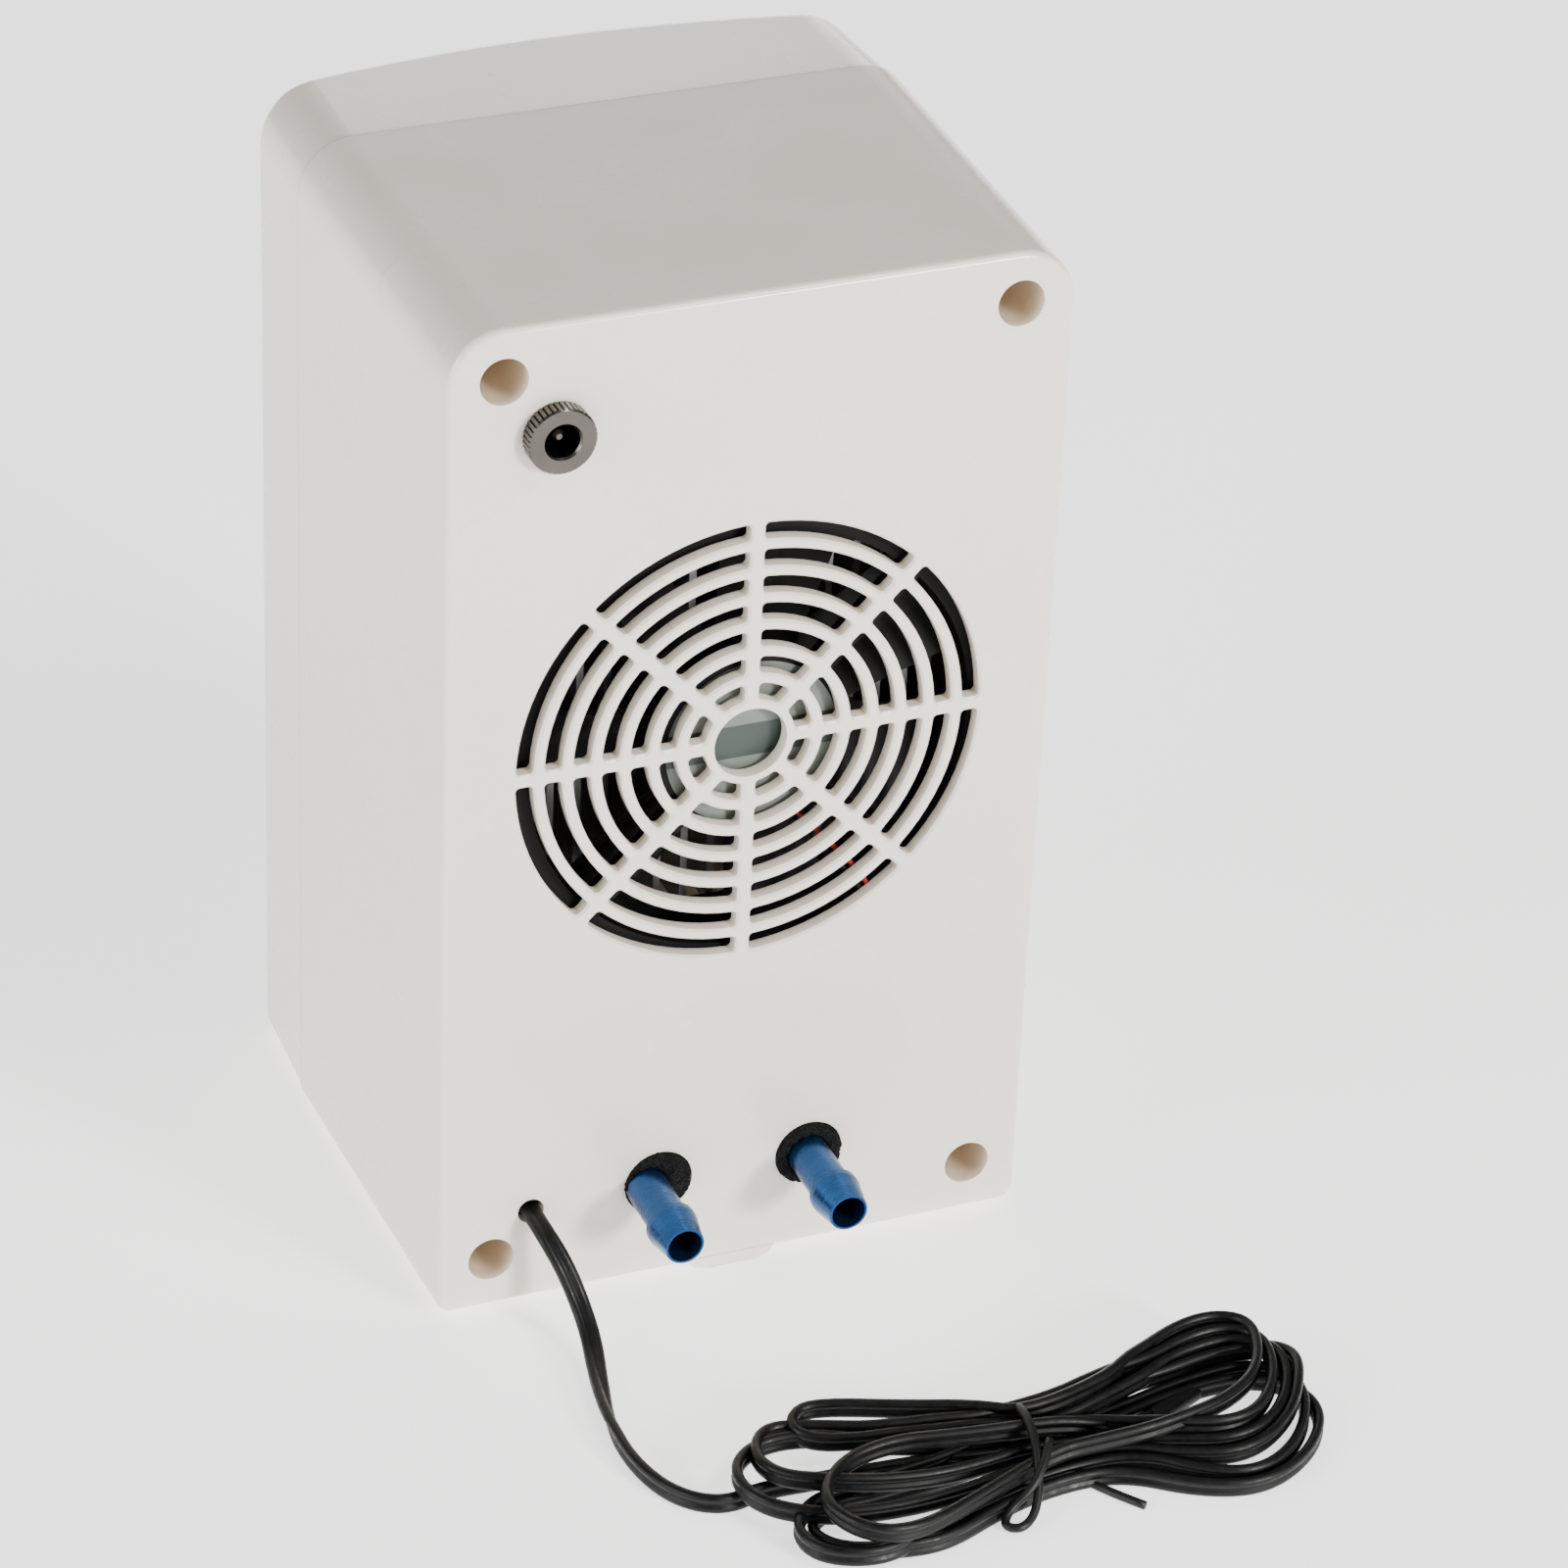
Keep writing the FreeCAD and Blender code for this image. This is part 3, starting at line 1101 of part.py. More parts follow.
def make_inside_wires():
    """Leads of the fan, the socket and the thermoelectric module, each to its place on the board."""
    red = [(-9.9, 36.2, 86), (-16, 36.4, 79), (-22.5, 37.5, 71.5), (-29.3, 37.5, 54), (-31, 30, 48),
           (-35, 14, 44), (-45, -10, 44),
           (-46, -24, 60), (-42.5, -38, 95), (-30, -41, 117), (-30, -45.4, 117)]
    black = [(-8.6, 36.2, 85.2), (-14.8, 36.4, 78), (-21.4, 37.5, 70.6), (-28.1, 37.5, 53.2),
             (-29.7, 30, 47), (-33.6, 14, 42.8),
             (-43.7, -10, 42.6), (-44.8, -24, 58.8), (-41, -38, 94), (-27.6, -41, 117), (-27.6, -45.4, 117)]
    wires("fan_lead_red", [red], 0.45)
    wires("fan_lead_black", [black], 0.45)
    wires("power_leads", [[(34.3, 19, 164.9), (34.3, 8, 165), (28, -12, 162), (19, -24, 158.5),
                           (19, -35.4, 158.5)],
                          [(37.9, 22, 164.9), (37.9, 10, 164.9), (30, -8, 166), (12, -25, 158.5),
                           (12, -35.4, 158.5)]], 0.8)
    wires("module_leads", [[(7, -10.1, 121), (7, -10.1, 130), (14, -18, 140), (28.5, -26, 144.5),
                            (28.5, -36.4, 144.5)],
                           [(12, -10.1, 121), (12, -10.1, 129), (20, -16, 138), (33.5, -24, 144.5),
                            (33.5, -36.4, 144.5)]], 0.8)


MAKERS = (make_rear_housing, make_front_cover, make_feet, make_screws, make_fan_frame, make_fan_inside,
          make_fan_rotor, make_heat_sink, make_cold_side, make_hose_side, make_power_jack,
          make_front_controls, make_lead, make_inside_wires)

for make in MAKERS:
    make()
doc.recompute()

failed = [thing.Name for thing in doc.Objects if {"Invalid", "Error"} & set(thing.State)]
if failed:
    raise RuntimeError(f"these objects failed: {failed}")
for thing in SUBPARTS:
    if thing.Shape.isNull() or not thing.Shape.isValid():
        raise RuntimeError(f"{thing.Label} has no valid shape")

os.makedirs("parts", exist_ok=True)
for thing in SUBPARTS:
    thing.Shape.exportStep(f"parts/{thing.Label}.step")
print(f"{len(SUBPARTS)} sub-parts written")
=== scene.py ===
import json
import math

import bpy
import numpy as np
from mathutils import Matrix, Vector, noise


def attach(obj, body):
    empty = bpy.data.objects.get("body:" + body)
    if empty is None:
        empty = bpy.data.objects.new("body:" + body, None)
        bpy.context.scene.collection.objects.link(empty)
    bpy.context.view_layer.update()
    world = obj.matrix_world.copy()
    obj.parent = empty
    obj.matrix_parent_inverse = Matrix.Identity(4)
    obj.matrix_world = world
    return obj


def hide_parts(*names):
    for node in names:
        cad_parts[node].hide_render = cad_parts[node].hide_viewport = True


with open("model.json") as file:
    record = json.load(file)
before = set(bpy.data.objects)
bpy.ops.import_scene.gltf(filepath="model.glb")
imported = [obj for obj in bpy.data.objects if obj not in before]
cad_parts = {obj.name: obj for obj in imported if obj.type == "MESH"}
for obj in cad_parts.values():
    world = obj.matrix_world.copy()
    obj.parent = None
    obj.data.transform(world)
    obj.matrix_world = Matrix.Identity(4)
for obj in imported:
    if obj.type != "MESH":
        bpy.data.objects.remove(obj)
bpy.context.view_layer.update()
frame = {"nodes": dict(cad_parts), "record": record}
nodes = frame["nodes"]
MM = 0.001


# ---------------------------------------------------------------- camera, light and floor

def make_camera():
    """A long lens, above and behind the chiller, rolled a little clockwise."""
    lens = bpy.data.cameras.new("camera")
    lens.lens = 139.9
    lens.sensor_width = 36.0
    lens.clip_start = 0.05
    lens.clip_end = 50.0
    thing = bpy.data.objects.new("camera", lens)
    bpy.context.scene.collection.objects.link(thing)
    place, aim = Vector((326.1, 811.1, 607.9)) * MM, Vector((-6.09, 40.5, 94.06)) * MM
    roll = math.radians(2.522)
    turn = (aim - place).to_track_quat("-Z", "Y").to_matrix() @ Matrix.Rotation(roll, 3, "Z")
    thing.matrix_world = Matrix.Translation(place) @ turn.to_4x4()
    bpy.context.scene.camera = thing


def area_light(name, place, aim, size, power, colour=(1, 1, 1)):
    lamp = bpy.data.lights.new(name, "AREA")
    lamp.shape = "DISK"
    lamp.size = size
    lamp.energy = power
    lamp.color = colour
    thing = bpy.data.objects.new(name, lamp)
    bpy.context.scene.collection.objects.link(thing)
    thing.location = place
    thing.rotation_euler = (Vector(aim) - Vector(place)).to_track_quat("-Z", "Y").to_euler()


def make_stage():
    """A bright floor, a pale sky and four lamps: a low key at the right, a high one and two fills."""
    bpy.ops.mesh.primitive_plane_add(size=12, location=(0, 0, 0))
    floor = bpy.context.object
    floor.name = "floor"
    look = bpy.data.materials.new("floor")
    look.use_nodes = True
    shader = look.node_tree.nodes["Principled BSDF"]
    shader.inputs["Base Color"].default_value = (0.93, 0.93, 0.93, 1)
    shader.inputs["Roughness"].default_value = 0.9
    shader.inputs["Emission Color"].default_value = (1, 1, 1, 1)
    shader.inputs["Emission Strength"].default_value = 1.4
    floor.data.materials.append(look)
    world = bpy.data.worlds.new("studio")
    bpy.context.scene.world = world
    world.use_nodes = True
    sky = world.node_tree.nodes["Background"]
    sky.inputs["Color"].default_value = (1.0, 1.0, 1.0, 1)
    sky.inputs["Strength"].default_value = 0.3
    centre = (0, 0, 0.09)
    area_light("key", (-0.9, 1.9, 0.69), centre, 0.45, 62.0, (1.0, 0.98, 0.95))
    area_light("fill", (1.5, 0.35, 0.59), centre, 1.0, 20.0, (0.97, 0.985, 1.0))
    area_light("high", (-0.67, 0.98, 1.58), centre, 0.4, 10.5, (1.0, 0.98, 0.95))
    area_light("back", (-0.5, -1.6, 0.35), centre, 1.0, 9.0)


# ---------------------------------------------------------------- materials

class Look:
    """A procedural material: even values sit on the shader's sockets, patterns reach it through nodes."""

    def __init__(self, name, colour, roughness, metallic=0.0, **sockets):
        self.material = bpy.data.materials.new(name)
        self.material.use_nodes = True
        self.tree = self.material.node_tree
        self.shader = self.tree.nodes["Principled BSDF"]
        self.set("Base Color", (*colour, 1.0))
        self.set("Roughness", roughness)
        self.set("Metallic", metallic)
        for socket, value in sockets.items():
            self.set(socket.replace("_", " "), value)
        self.place = self.tree.nodes.new("ShaderNodeTexCoord").outputs["Object"]
        self.height = None

    def set(self, socket, value):
        self.shader.inputs[socket].default_value = value

    def join(self, source, target):
        self.tree.links.new(source, target)

    def noise(self, scale, detail=3.0, stretch=(1, 1, 1)):
        """A noise pattern; scale is in cells per metre, stretch squeezes it along an axis."""
        mapping = self.tree.nodes.new("ShaderNodeMapping")
        mapping.inputs["Scale"].default_value = stretch
        self.join(self.place, mapping.inputs["Vector"])
        pattern = self.tree.nodes.new("ShaderNodeTexNoise")
        pattern.inputs["Scale"].default_value = scale
        pattern.inputs["Detail"].default_value = detail
        self.join(mapping.outputs["Vector"], pattern.inputs["Vector"])
        return pattern.outputs["Fac"]

    def cells(self, scale):
        pattern = self.tree.nodes.new("ShaderNodeTexVoronoi")
        pattern.inputs["Scale"].default_value = scale
        self.join(self.place, pattern.inputs["Vector"])
        return pattern.outputs["Distance"]

    def axis(self, letter):
        """The place along one axis, in metres."""
        split = self.tree.nodes.new("ShaderNodeSeparateXYZ")
        self.join(self.place, split.inputs["Vector"])
        return split.outputs[letter]

    def maths(self, operation, one, other=0.0):
        node = self.tree.nodes.new("ShaderNodeMath")
        node.operation = operation
        for number, value in enumerate((one, other)):
            if isinstance(value, (int, float)):
                node.inputs[number].default_value = value
            else:
                self.join(value, node.inputs[number])
        return node.outputs[0]

    def between(self, value, low, high, soft=0.00005):
        """1 where a value lies between low and high, 0 elsewhere."""
        above = self.spread(value, low - soft, low + soft, 0.0, 1.0)
        below = self.spread(value, high - soft, high + soft, 1.0, 0.0)
        return self.maths("MULTIPLY", above, below)

    def spread(self, value, low, high, to_low, to_high):
        """Maps low to to_low and high to to_high, and holds those two values outside them."""
        node = self.tree.nodes.new("ShaderNodeMapRange")
        limits = {"From Min": low, "From Max": high, "To Min": to_low, "To Max": to_high}
        for socket, number in limits.items():
            node.inputs[socket].default_value = number
        self.join(value, node.inputs["Value"])
        return node.outputs["Result"]

    def colours(self, value, stops):
        """Base colour from a value through a ramp of (position, colour) stops."""
        self.join(self.ramp(value, stops), self.shader.inputs["Base Color"])

    def ramp(self, value, stops):
        node = self.tree.nodes.new("ShaderNodeValToRGB")
        elements = node.color_ramp.elements
        while len(elements) < len(stops):
            elements.new(0.5)
        for element, (position, colour) in zip(elements, stops):
            element.position = position
            element.color = (*colour, 1.0)
        self.join(value, node.inputs["Fac"])
        return node.outputs["Color"]

    def mix(self, factor, one, other):
        node = self.tree.nodes.new("ShaderNodeMix")
        node.data_type = "RGBA"
        for number, value in ((0, factor), (6, one), (7, other)):
            if isinstance(value, tuple):
                node.inputs[number].default_value = (*value, 1.0)
            else:
                self.join(value, node.inputs[number])
        return node.outputs[2]

    def roughnesses(self, value, low, high):
        self.join(self.spread(value, 0.3, 0.7, low, high), self.shader.inputs["Roughness"])

    def bump(self, value, depth, strength=1.0):
        """Adds relief of a given depth in metres."""
        node = self.tree.nodes.new("ShaderNodeBump")
        node.inputs["Distance"].default_value = depth
        node.inputs["Strength"].default_value = strength
        self.join(value, node.inputs["Height"])
        if self.height is not None:
            self.join(self.height, node.inputs["Normal"])
        self.height = node.outputs["Normal"]
        self.join(self.height, self.shader.inputs["Normal"])


def shades(colour, share):
    """Two tones of a colour, a share darker and a share lighter."""
    darker = tuple(c * (1 - share) for c in colour)
    lighter = tuple(min(1.0, c * (1 + share)) for c in colour)
    return [(0.3, darker), (0.7, lighter)]


def plastic(name, colour, roughness, grain=0.00002, **sockets):
    """Moulded plastic: faint colour drift, uneven gloss and a fine skin."""
    look = Look(name, colour, roughness, **sockets)
    look.colours(look.noise(35.0), shades(colour, 0.03))
    look.roughnesses(look.noise(60.0), roughness * 0.85, roughness * 1.2)
    look.bump(look.noise(2500.0, 2.0), grain, 0.4)
    return look


def metal(name, colour, roughness, stretch=(1, 1, 1), grain=0.00001):
    """Metal with tool marks drawn out along one axis and a patchy sheen."""
    look = Look(name, colour, roughness, 1.0)
    look.colours(look.noise(180.0), shades(colour, 0.08))
    look.roughnesses(look.noise(400.0, 3.0, stretch), roughness * 0.75, roughness * 1.3)
    look.bump(look.noise(1500.0, 3.0, stretch), grain, 0.5)
    return look


def case_look():
    """Warm ivory plastic that lets a little light in, with a faint waviness of the moulding."""
    ivory = (0.79, 0.735, 0.645)
    look = Look("case", ivory, 0.3, Subsurface_Weight=0.25, Subsurface_Scale=0.004, IOR=1.5,
                Coat_Weight=0.4, Coat_Roughness=0.14)
    look.set("Subsurface Radius", (1.0, 0.75, 0.55))
    skin = look.ramp(look.noise(22.0), shades(ivory, 0.018))
    # Painted light and shade: the counterbores are painted brown where the thick screw bosses glow brown
    # with light passing through them, and the seam of the two shells is painted darker as the shade in its
    # gap.
    bores_out, bores_middle, bores_up = 0.043, 0.09315, 0.08205
    across = look.maths("SUBTRACT", look.maths("ABSOLUTE", look.axis("X")), bores_out)
    middle = look.maths("ABSOLUTE", look.maths("SUBTRACT", look.axis("Z"), bores_middle))
    along = look.maths("SUBTRACT", middle, bores_up)
    squares = look.maths("ADD", look.maths("MULTIPLY", across, across),
                         look.maths("MULTIPLY", along, along))
    bore = look.spread(look.maths("SQRT", squares), 0.0040, 0.0042, 1.0, 0.0)
    bore = look.maths("MULTIPLY", bore, look.between(look.axis("Y"), 0.0, 0.0395, 0.0009))
    skin = look.mix(bore, skin, (0.70, 0.58, 0.44))
    # Painted shade: a dark line along the seam, where the gap between the two shells is in shade.
    seam_painted_shade = look.between(look.axis("Y"), -0.02925, -0.02898, 0.00003)
    look.join(look.mix(seam_painted_shade, skin, (0.36, 0.32, 0.27)), look.shader.inputs["Base Color"])
    look.roughnesses(look.noise(45.0, 4.0), 0.2, 0.31)
    look.bump(look.noise(16.0, 2.0), 0.0004, 0.35)
    look.bump(look.noise(3500.0, 2.0), 0.00001, 0.35)
    return look


def fan_label_look():
    """Plain silver foil with a grey-green band across it, without any print."""
    look = plastic("fan_label", (0.15, 0.175, 0.15), 0.38)
    height = look.axis("Z")
    band = look.between(height, 0.0985, 0.1045, 0.0001)
    # Painted shade: the foil and the band get tones far darker than silver and grey-green, for the shade
    # inside the fan.
    foil = look.ramp(look.noise(300.0), shades((0.14, 0.16, 0.145), 0.07))
    look.join(look.mix(band, foil, (0.028, 0.043, 0.037)), look.shader.inputs["Base Color"])
    return look


def foam_look():
    """Black open-cell foam."""
    look = Look("foam", (0.012, 0.012, 0.013), 0.95, Specular_IOR_Level=0.1)
    pores = look.cells(2600.0)
    look.colours(pores, [(0.1, (0.002, 0.002, 0.0022)), (0.7, (0.012, 0.012, 0.0125))])
    look.bump(pores, 0.0003)
    return look


def cable_look():
    """Black vinyl with a dull satin skin and a few scuffs."""
    look = Look("cable", (0.0015, 0.0015, 0.0016), 0.4, Specular_IOR_Level=0.25)
    look.colours(look.noise(500.0, 4.0), [(0.35, (0.001, 0.001, 0.0011)), (0.75, (0.003, 0.003, 0.0032))])
    look.roughnesses(look.noise(900.0, 4.0), 0.34, 0.55)
    look.bump(look.noise(4000.0, 2.0), 0.00002, 0.4)
    return look


def board_look():
    """Green circuit board with darker tracks under the solder mask."""
    look = Look("circuit_board", (0.02, 0.13, 0.05), 0.35, Coat_Weight=0.4)
    tracks = look.between(look.noise(260.0, 0.0), 0.48, 0.52, 0.005)
    look.join(look.mix(tracks, (0.018, 0.12, 0.045), (0.04, 0.22, 0.09)), look.shader.inputs["Base Color"])
    look.bump(tracks, 0.00004)
    return look


def anodised_look():
    """Satin blue anodised aluminium, turned: fine rings round the barbs' long axis."""
    blue = (0.012, 0.06, 0.185)
    look = Look("blue_anodised", blue, 0.34, 0.85)
    look.colours(look.noise(220.0), shades(blue, 0.1))
    rings = look.noise(1800.0, 2.0, (0.02, 1.0, 0.02))
    look.roughnesses(rings, 0.22, 0.36)
    look.bump(rings, 0.000004, 0.3)
    return look


def make_looks():
    """One look for each of the record's material slots."""
    window = Look("smoked", (0.42, 0.42, 0.44), 0.06, Transmission_Weight=1.0, IOR=1.49)
    window.roughnesses(window.noise(300.0), 0.05, 0.1)
    return {
        "case": case_look(),
        "rubber": plastic("rubber", (0.02, 0.02, 0.02), 0.75, 0.00005),
        "steel": metal("steel", (0.55, 0.55, 0.56), 0.32),
        "black_plastic": plastic("black_plastic", (0.005, 0.005, 0.0053), 0.6, Specular_IOR_Level=0.15),
        "brass": metal("brass", (0.72, 0.52, 0.24), 0.3),
        "iron": metal("iron", (0.30, 0.30, 0.31), 0.55),
        "copper": metal("copper", (0.45, 0.19, 0.09), 0.35, (1, 1, 8)),
        "board": board_look(),
        "label": fan_label_look(),
        "magnet": plastic("magnet", (0.05, 0.05, 0.055), 0.7),
        # Painted shade: the aluminium is darkened well below bare metal, for the shade on the heat sink and
        # water block inside the case.
        "aluminium": metal("aluminium", (0.45, 0.46, 0.47), 0.42, (1, 1, 0.05)),
        "thermal_pad": plastic("thermal_pad", (0.75, 0.75, 0.72), 0.7),
        "ceramic": plastic("ceramic", (0.86, 0.86, 0.84), 0.5),
        "foam": foam_look(),
        "blue_anodised": anodised_look(),
        "nickel": metal("nickel", (0.10, 0.09, 0.081), 0.28, (1, 0.1, 1)),
        "smoked": window,
        "button": plastic("button", (0.55, 0.55, 0.54), 0.35),
        "display": plastic("display", (0.02, 0.02, 0.022), 0.3),
        "relay": plastic("relay", (0.02, 0.09, 0.38), 0.4),
        "terminal": plastic("terminal", (0.02, 0.25, 0.10), 0.45),
        "capacitor": plastic("capacitor", (0.02, 0.025, 0.06), 0.35),
        "lead": cable_look(),
        "tie": plastic("tie", (0.004, 0.004, 0.0042), 0.42, Specular_IOR_Level=0.3),
        "red_wire": plastic("red_wire", (0.25, 0.01, 0.008), 0.45),
    }


make_camera()
make_stage()
looks = make_looks()
slot_of = {part["node"]: part["material_slot"] for part in frame["record"]["subparts"]}
for name, node in nodes.items():
    node.material_slots[0].material = looks[slot_of[name]].material


# ---------------------------------------------------------------- pieces

def new_piece(name, vertices, faces, slot, body="root", smooth=True):
    """A mesh piece in the row frame that rides on a body and wears a slot's look."""
    mesh = bpy.data.meshes.new(name)
    mesh.from_pydata([tuple(v) for v in vertices], [], faces)
    mesh.validate()
    mesh.materials.append(looks[slot].material)
    for face in mesh.polygons:
        face.use_smooth = smooth
    thing = bpy.data.objects.new(name, mesh)
    bpy.context.scene.collection.objects.link(thing)
    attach(thing, body)
    return thing


def nurbs_line(points, resolution):
    """Points along the smooth NURBS line that has these control points, which are in millimetres."""
    curve = bpy.data.curves.new("route", "CURVE")
    curve.dimensions = "3D"
    curve.resolution_u = resolution
    spline = curve.splines.new("NURBS")
    spline.points.add(len(points) - 1)
    for control, place in zip(spline.points, points):
        control.co = (*(Vector(place) * MM), 1.0)
    spline.order_u = 3
    spline.use_endpoint_u = True
    line = bpy.data.objects.new("route", curve)
    mesh = bpy.data.meshes.new_from_object(line)
    found = [vertex.co.copy() for vertex in mesh.vertices]
    bpy.data.objects.remove(line)
    bpy.data.meshes.remove(mesh)
    return found


def swept(name, line, section, widths, slot):
    """A closed tube: a section of (across, through) points carried along a line, turned by widths."""
    vertices, faces = [], []
    count = len(section)
    for i, place in enumerate(line):
        ahead = line[min(i + 1, len(line) - 1)] - line[max(i - 1, 0)]
        wide = widths[i] - ahead * (widths[i].dot(ahead) / ahead.length_squared)
        wide.normalize()
        thin = wide.cross(ahead).normalized()
        vertices += [place + wide * across + thin * through for across, through in section]
    for i in range(len(line) - 1):
        for j in range(count):
            a, b = i * count + j, i * count + (j + 1) % count
            faces.append((a, b, b + count, a + count))
    faces.append(tuple(reversed(range(count))))
    faces.append(tuple(range((len(line) - 1) * count, len(line) * count)))
    return new_piece(name, vertices, faces, slot)


def carried(line, wide):
    """A width direction for each point of a line, carried along it without twist."""
    widths = []
    for i in range(len(line)):
        ahead = line[min(i + 1, len(line) - 1)] - line[max(i - 1, 0)]
        wide = (wide - ahead * (wide.dot(ahead) / ahead.length_squared)).normalized()
        widths.append(wide)
    return widths


def round_section(radius, steps=12):
    turn = math.tau / steps
    return [(radius * MM * math.cos(turn * k), radius * MM * math.sin(turn * k)) for k in range(steps)]


# ---------------------------------------------------------------- foam round the barbs

FOAM_SEED = 7


def make_foam_sleeve(side, label):
    """Torn black foam that fills a hole of the case round a barb and stands a little proud of it."""
    # noise_vector starts from the clock unless it is seeded; this tears the foam the same way each run.
    noise.seed_set(FOAM_SEED)
    middle = Vector((side * 13.5, 41.7, 20.0))
    offset, bore, rim, around = 1.35 + side * 1.05, 3.6, 5.95, 144
    torn_from, coarse, fine, ragged = -1.5, 0.4, 0.25, 0.2
    # Each row is a share of the way from the barb to the rim, and a depth, both round the ring's section.
    rows = [(0, -18), (1, -18), (1, -9), (1, -2.2), (0.99, -1.8), (0.96, -1.4), (0.93, -1), (0.88, -0.7),
            (0.8, -0.5), (0.7, -0.4), (0.6, -0.3), (0.5, -0.3), (0.38, -0.2), (0.26, -0.2), (0.12, -0.3),
            (0, -0.8), (0, -9)]
    vertices = []
    for share, along in rows:
        for step in range(around):
            angle = math.tau * step / around
            out = Vector((math.cos(angle), 0, math.sin(angle)))
            inner = out * bore + Vector((offset, 0, 0))
            place = middle + inner.lerp(out * rim, share) + Vector((0, along, 0))
            if along > torn_from and share > 0:
                place += noise.noise_vector(place * 0.9) * coarse + noise.noise_vector(place * 3.1) * fine
                place.y += noise.noise(place * 7.0) * ragged
            vertices.append(place * MM)
    faces = []
    for row in range(len(rows)):
        for step in range(around):
            after, later = (step + 1) % around, (row + 1) % len(rows)
            faces.append((row * around + step, row * around + after, later * around + after,
                          later * around + step))
    sleeve = new_piece(f"foam_sleeve_{label}_torn", vertices, faces, "foam")
    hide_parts(f"foam_sleeve_{label}")


# ---------------------------------------------------------------- display and buttons

def plates(name, outlines, back, front, slot, body="root"):
    """Thin flat shapes, given as (x, z) outlines that turn left seen from the front, between two depths."""
    vertices, faces = [], []
    for outline in outlines:
        near, count = len(vertices), len(outline)
        far = near + count
        vertices += [Vector((x, y, z)) * MM for y in (front, back) for x, z in outline]
        faces += [tuple(range(near, far)), tuple(reversed(range(far, far + count)))]
        for k in range(count):
            after = (k + 1) % count
            faces.append((near + k, far + k, far + after, near + after))
    return new_piece(name, vertices, faces, slot, body, smooth=False)


def bar(start, end, thickness=1.5, gap=0.25):
    """One pointed segment of a digit."""
    start, end = Vector(start), Vector(end)
    ahead = (end - start).normalized()
    half, left = ahead * thickness / 2, Vector((-ahead.y, ahead.x)) * thickness / 2
    start, end = start + ahead * gap, end - ahead * gap
    return [start, start + half - left, end - half - left, end, end - half + left, start + half + left]


def make_display():
    """Three unlit digits and a point on the display behind the window, and plain signs on the buttons."""
    digits_apart, digit_half_width, digits_middle, bar_length = 11.5, 3.2, 148, 5.8
    segments = []
    for middle in (-digits_apart, 0, digits_apart):
        left, right = middle - digit_half_width, middle + digit_half_width
        for height in (digits_middle - bar_length, digits_middle, digits_middle + bar_length):
            segments.append(bar((left, height), (right, height)))
        for low in (digits_middle - bar_length, digits_middle):
            high = low + bar_length
            segments += [bar((left, low), (left, high)), bar((right, low), (right, high))]
    segments.append([(5.2, 141.4), (6.3, 141.4), (6.3, 142.5), (5.2, 142.5)])
    plates("display_segments", segments, -54.98, -55.06, "ceramic")
    # The three buttons are 20 mm apart, and the curve of the cover sets the middle one further forward.
    dot_radius, middle_face, side_face = 0.9, -59.5, -58.536
    around = [math.tau * step / 24 for step in range(24)]
    dot = [(-20 + dot_radius * math.cos(turn), 121 + dot_radius * math.sin(turn)) for turn in around]
    signs = {"set": dot,
             "up": [(-1.3, 120.2), (1.3, 120.2), (0, 122.2)],
             "down": [(18.7, 121.8), (20, 119.8), (21.3, 121.8)]}
    for label, outline in signs.items():
        face = middle_face if label == "up" else side_face
        plates(f"sign_{label}", [outline], face + 0.02, face - 0.06, "display", f"button_{label}")


# ---------------------------------------------------------------- sensor lead

CORE_RADIUS = 0.9
CORE_APART = 1.7
# How far the passes of the hank are pushed off one another, in millimetres. The first five are
# measured along the lead.
HANK_FROM = 95
HANK_EASE_IN = 18
HANK_EASE_OUT = 10
HANK_SAME_PASS = 8
HANK_STEP = 1.2
HANK_CLEARANCE = 1.9
HANK_SHIFT = 1.2
HANK_LIFT = 3
HANK_LOWEST = 1.8
HANK_HIGHEST = 7.9
# The push is repeated, a share of it at a time, and its unevenness is smoothed over a few steps.
HANK_SWEEPS = 50
PUSH_SHARE = 0.9
SMOOTH_SHARE = 0.3
SMOOTH_STEPS = 3
# The free run from the lead stop to the hank, as in the CAD source.
LEAD_ROUTE = [(36.1, 38.0, 19.3), (36.1, 44.6, 19.3), (33.8, 49.4, 14.6), (31.6, 51.6, 8.0),
              (31.2, 57.0, 3.6), (33.2, 65.5, 1.9), (35.6, 77.0, 1.8), (35.8, 89.0, 1.8),
              (32.4, 99.0, 1.8), (25.6, 103.8, 1.8), (17.0, 101.0, 1.8)]
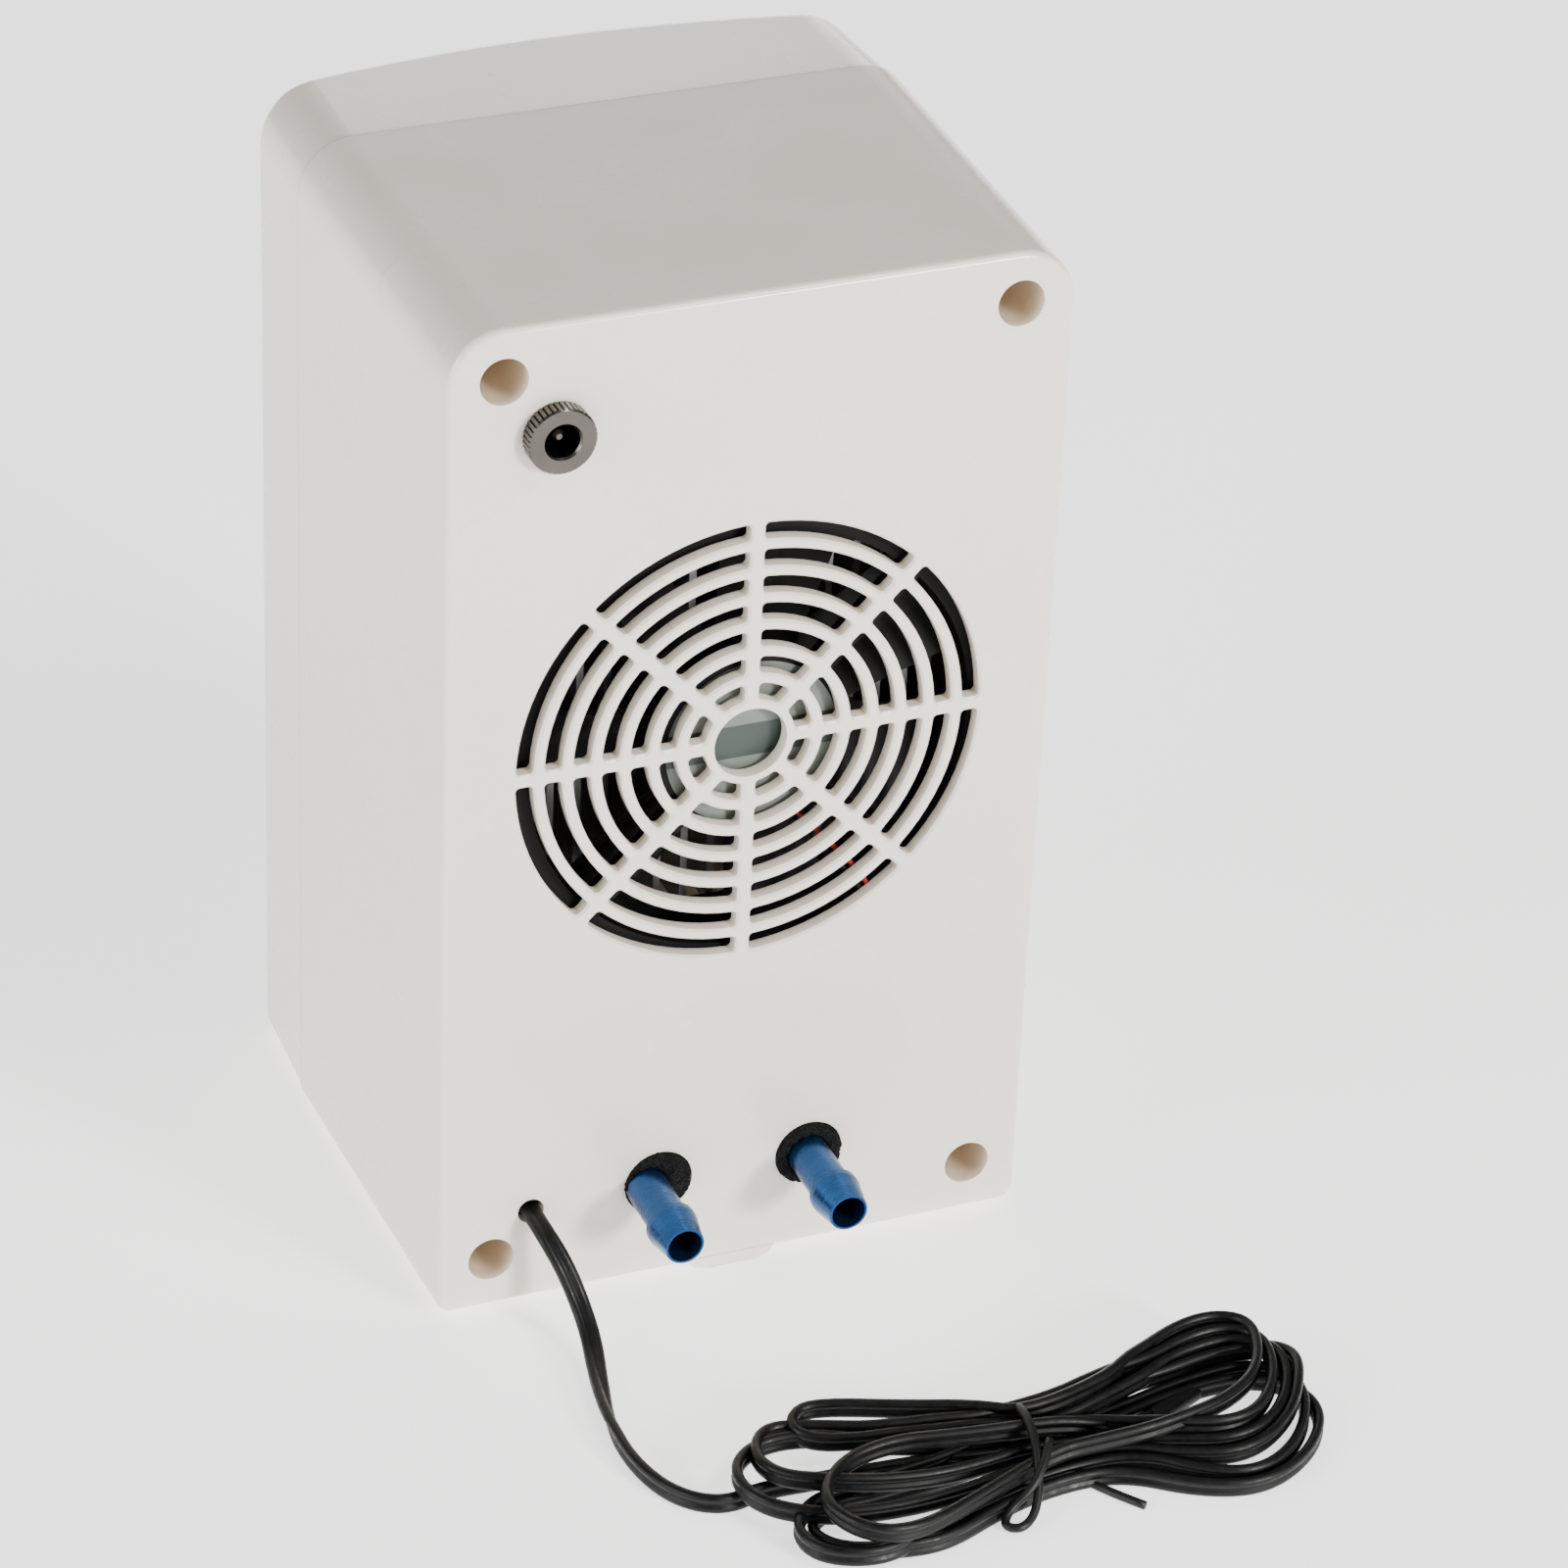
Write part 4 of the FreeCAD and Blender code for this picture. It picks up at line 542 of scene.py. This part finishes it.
# Six turns. Each passes the waist, goes round a right-hand loop, back through the waist and round a
# left-hand loop; the loops fan out by different amounts, as in a lead tied by hand.
WAIST_X = -27.0
RIGHT_LOOPS = [
    [(-56, 99, 1.8), (-72, 100, 1.8), (-75.5, 111, 1.8), (-69.5, 121.5, 1.8), (-58.5, 127.5, 1.8),
     (-48, 124.5, 1.8), (-38, 116.5, 1.8)],
    [(-54, 98.5, 2.6), (-71.5, 98, 3), (-75.5, 108, 3), (-69, 119.5, 3), (-59, 126, 3), (-50, 122.5, 3),
     (-42, 114, 2.6)],
    [(-51, 98, 4.2), (-70, 96, 4.3), (-75.5, 103, 4.3), (-70, 115, 4.3), (-58.5, 122, 4.2),
     (-48, 118.5, 4), (-40, 111.5, 3.6)],
    [(-50.5, 97, 5.2), (-67.5, 94, 5.4), (-74.5, 100.5, 5.4), (-69, 113.5, 5.4), (-58.5, 119.5, 5.2),
     (-46.5, 114.5, 5), (-37.5, 111, 4.8)],
    [(-48, 97.5, 6.3), (-64.5, 92.5, 6.5), (-73, 97, 6.5), (-69.5, 108.5, 6.5), (-60, 117.5, 6.4),
     (-46, 113, 6), (-38, 109, 5.4)],
    [(-47, 98, 7.2), (-62.5, 90.5, 7.5), (-71.5, 94.5, 7.5), (-67.5, 106.5, 7.5), (-57, 113, 7.2),
     (-45, 114.5, 6.8), (-36, 113.5, 6)],
]
LEFT_LOOPS = [
    [(-16, 118.5, 1.8), (-4, 123.5, 1.8), (7, 123, 1.8), (14, 119, 1.8), (16, 113, 1.8), (10, 108.8, 1.8),
     (2, 109.5, 1.8)],
    [(-14, 117.5, 2.6), (-2, 122.5, 3), (8, 125, 3), (17.5, 121, 3), (18, 113, 3), (8, 107, 3)],
    [(-11.5, 115.5, 3.8), (2.5, 116, 4), (14.5, 113.5, 4), (22.5, 107.5, 4), (22.5, 99, 4),
     (15.5, 93.5, 4), (5.5, 96.5, 4.2), (-7.5, 101.5, 4.3)],
    [(-10.5, 112, 5), (1.5, 111, 5.2), (10.5, 108.5, 5.2), (17.5, 104.5, 5.2), (19.2, 98, 5.2),
     (14.5, 92.6, 5.2), (6.5, 95.2, 5.3), (-3.5, 100, 5.8)],
    [(-11.5, 102.6, 5.8), (0, 98.6, 5.8), (7.5, 96.4, 6), (10.8, 92.8, 6.6), (8, 89.6, 7),
     (3, 90.8, 7.1), (-7.5, 96.2, 7.2), (-17.5, 101, 7.2)],
    [(-11, 119, 4.6), (1.5, 124.5, 5), (9.5, 123, 5.6), (14, 115, 6.4), (8.5, 106.5, 7.2),
     (-2, 104, 7.6), (-14, 106.5, 7.6)],
]
# Where each pass crosses the waist: towards the right-hand loop, then back.
OUTWARD = [(108, 1.8), (105, 1.8), (103.5, 3.6), (106.5, 4.4), (103.8, 6.4), (106.2, 7.2)]
HOMEWARD = [(116, 1.8), (113, 1.8), (111, 3.4), (109, 4.6), (105.5, 5.2), (112.5, 5.2)]
LEAD_END = [(-28, 108.5, 7.4), (-34, 109.5, 6.4), (-40, 109, 3.6), (-44, 107.5, 2), (-48, 105.5, 1.8)]


def hank_route():
    """The turns of the hank, one loop of points after another."""
    route = []
    for going, right, coming, left in zip(OUTWARD, RIGHT_LOOPS, HOMEWARD, LEFT_LOOPS):
        route += [(WAIST_X, *going), *right, (WAIST_X, *coming), *left]
    return route


def settled(line):
    """Pushes the passes of the hank apart where they run into one another, as far as the limits allow."""
    rough = np.array(line) / MM
    along = np.concatenate([[0], np.cumsum(np.linalg.norm(np.diff(rough, axis=0), axis=1))])
    at = np.linspace(0, along[-1], int(along[-1] / HANK_STEP) + 1)
    start = np.stack([np.interp(at, along, rough[:, k]) for k in range(3)], 1)
    same_pass = np.abs(at[:, None] - at[None]) < HANK_SAME_PASS
    free = np.clip((at - HANK_FROM) / HANK_EASE_IN, 0, 1)
    free *= np.clip((at[-1] - at) / HANK_EASE_OUT, 0, 1)
    reach = 3 * SMOOTH_STEPS
    weights = np.exp(-0.5 * (np.arange(-reach, reach + 1) / SMOOTH_STEPS) ** 2)
    weights /= weights.sum()

    def smooth(values):
        return np.stack([np.convolve(values[:, k], weights, "same") for k in range(3)], 1)

    moved = np.zeros_like(start)
    for _ in range(HANK_SWEEPS):
        # The lead stands on edge, one core above the other, so the gap is between the nearest two cores.
        places = start + moved
        apart = places[:, None] - places[None]
        apart[..., 2] -= np.round(apart[..., 2] / CORE_APART).clip(-1, 1) * CORE_APART
        distance = np.maximum(np.linalg.norm(apart, axis=2), 0.001)
        short = np.where(same_pass, 0, np.maximum(0, HANK_CLEARANCE - distance))
        meeting = np.maximum(1, (short > 0).sum(1))
        push = (apart * (short / distance)[..., None]).sum(1) / meeting[:, None]
        moved += smooth(push * PUSH_SHARE * free[:, None])
        across = np.linalg.norm(moved[:, :2], axis=1)
        moved[:, :2] /= np.maximum(1, across / HANK_SHIFT)[:, None]
        moved = (1 - SMOOTH_SHARE) * moved + SMOOTH_SHARE * smooth(moved)
        lifted = np.clip(start[:, 2] + moved[:, 2], HANK_LOWEST, HANK_HIGHEST)
        moved[:, 2] = np.where(free > 0, lifted - start[:, 2], 0).clip(-HANK_LIFT, HANK_LIFT)
    return [Vector(place) * MM for place in start + moved]


def twin_section():
    """Outline of a flat twin lead: two round cores side by side with a groove between them."""
    half, steps = math.radians(148), 9
    outline = []
    for side in (1, -1):
        for step in range(steps + 1):
            angle = -half + 2 * half * step / steps
            outline.append((side * (CORE_APART / 2 + CORE_RADIUS * math.cos(angle)) * MM,
                            side * CORE_RADIUS * math.sin(angle) * MM))
    return outline


def make_sensor_lead():
    line = settled(nurbs_line([*LEAD_ROUTE, *hank_route(), *LEAD_END], 9))
    widths, gone = [], 0.0
    flat_until, upright_from = 0.030, 0.052
    for i, place in enumerate(line):
        gone += (place - line[i - 1]).length if i else 0.0
        turn = min(1.0, max(0.0, (gone - flat_until) / (upright_from - flat_until)))
        turn *= math.pi / 2
        roll = 0.22 * noise.noise(Vector((gone * 22, 3.1, 0))) if gone > upright_from else 0.0
        widths.append(Vector((math.cos(turn), roll, math.sin(turn))))
    lead = swept("sensor_lead_cable", line, twin_section(), widths, "lead")
    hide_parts("sensor_lead", "sensor_lead_hank")


def make_tie():
    """The wire tie round the waist of the hank, wound once and a half, with a bent tail."""
    route = [(-38.5, 124.5, 0.8), (-34.5, 119.5, 0.8), (-30.5, 112.5, 0.8), (-27.5, 105, 0.8),
             (-26, 100.6, 3.6), (-25, 102.6, 9), (-24.6, 108, 10), (-23.8, 113.6, 8.6), (-22.2, 118.8, 4.8),
             (-20.2, 122, 1.7), (-17, 123.8, 1), (-14.6, 122, 1), (-16.8, 119.8, 2.4),
             (-20.4, 119.4, 4.8), (-23.6, 117.2, 7.2), (-26.2, 113.2, 9)]
    line = nurbs_line(route, 8)
    tie = swept("lead_tie_wire", line, round_section(0.75), carried(line, Vector((0, 0, 1))), "tie")
    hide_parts("lead_tie")


make_foam_sleeve(1, "left")
make_foam_sleeve(-1, "right")
make_display()
make_sensor_lead()
make_tie()
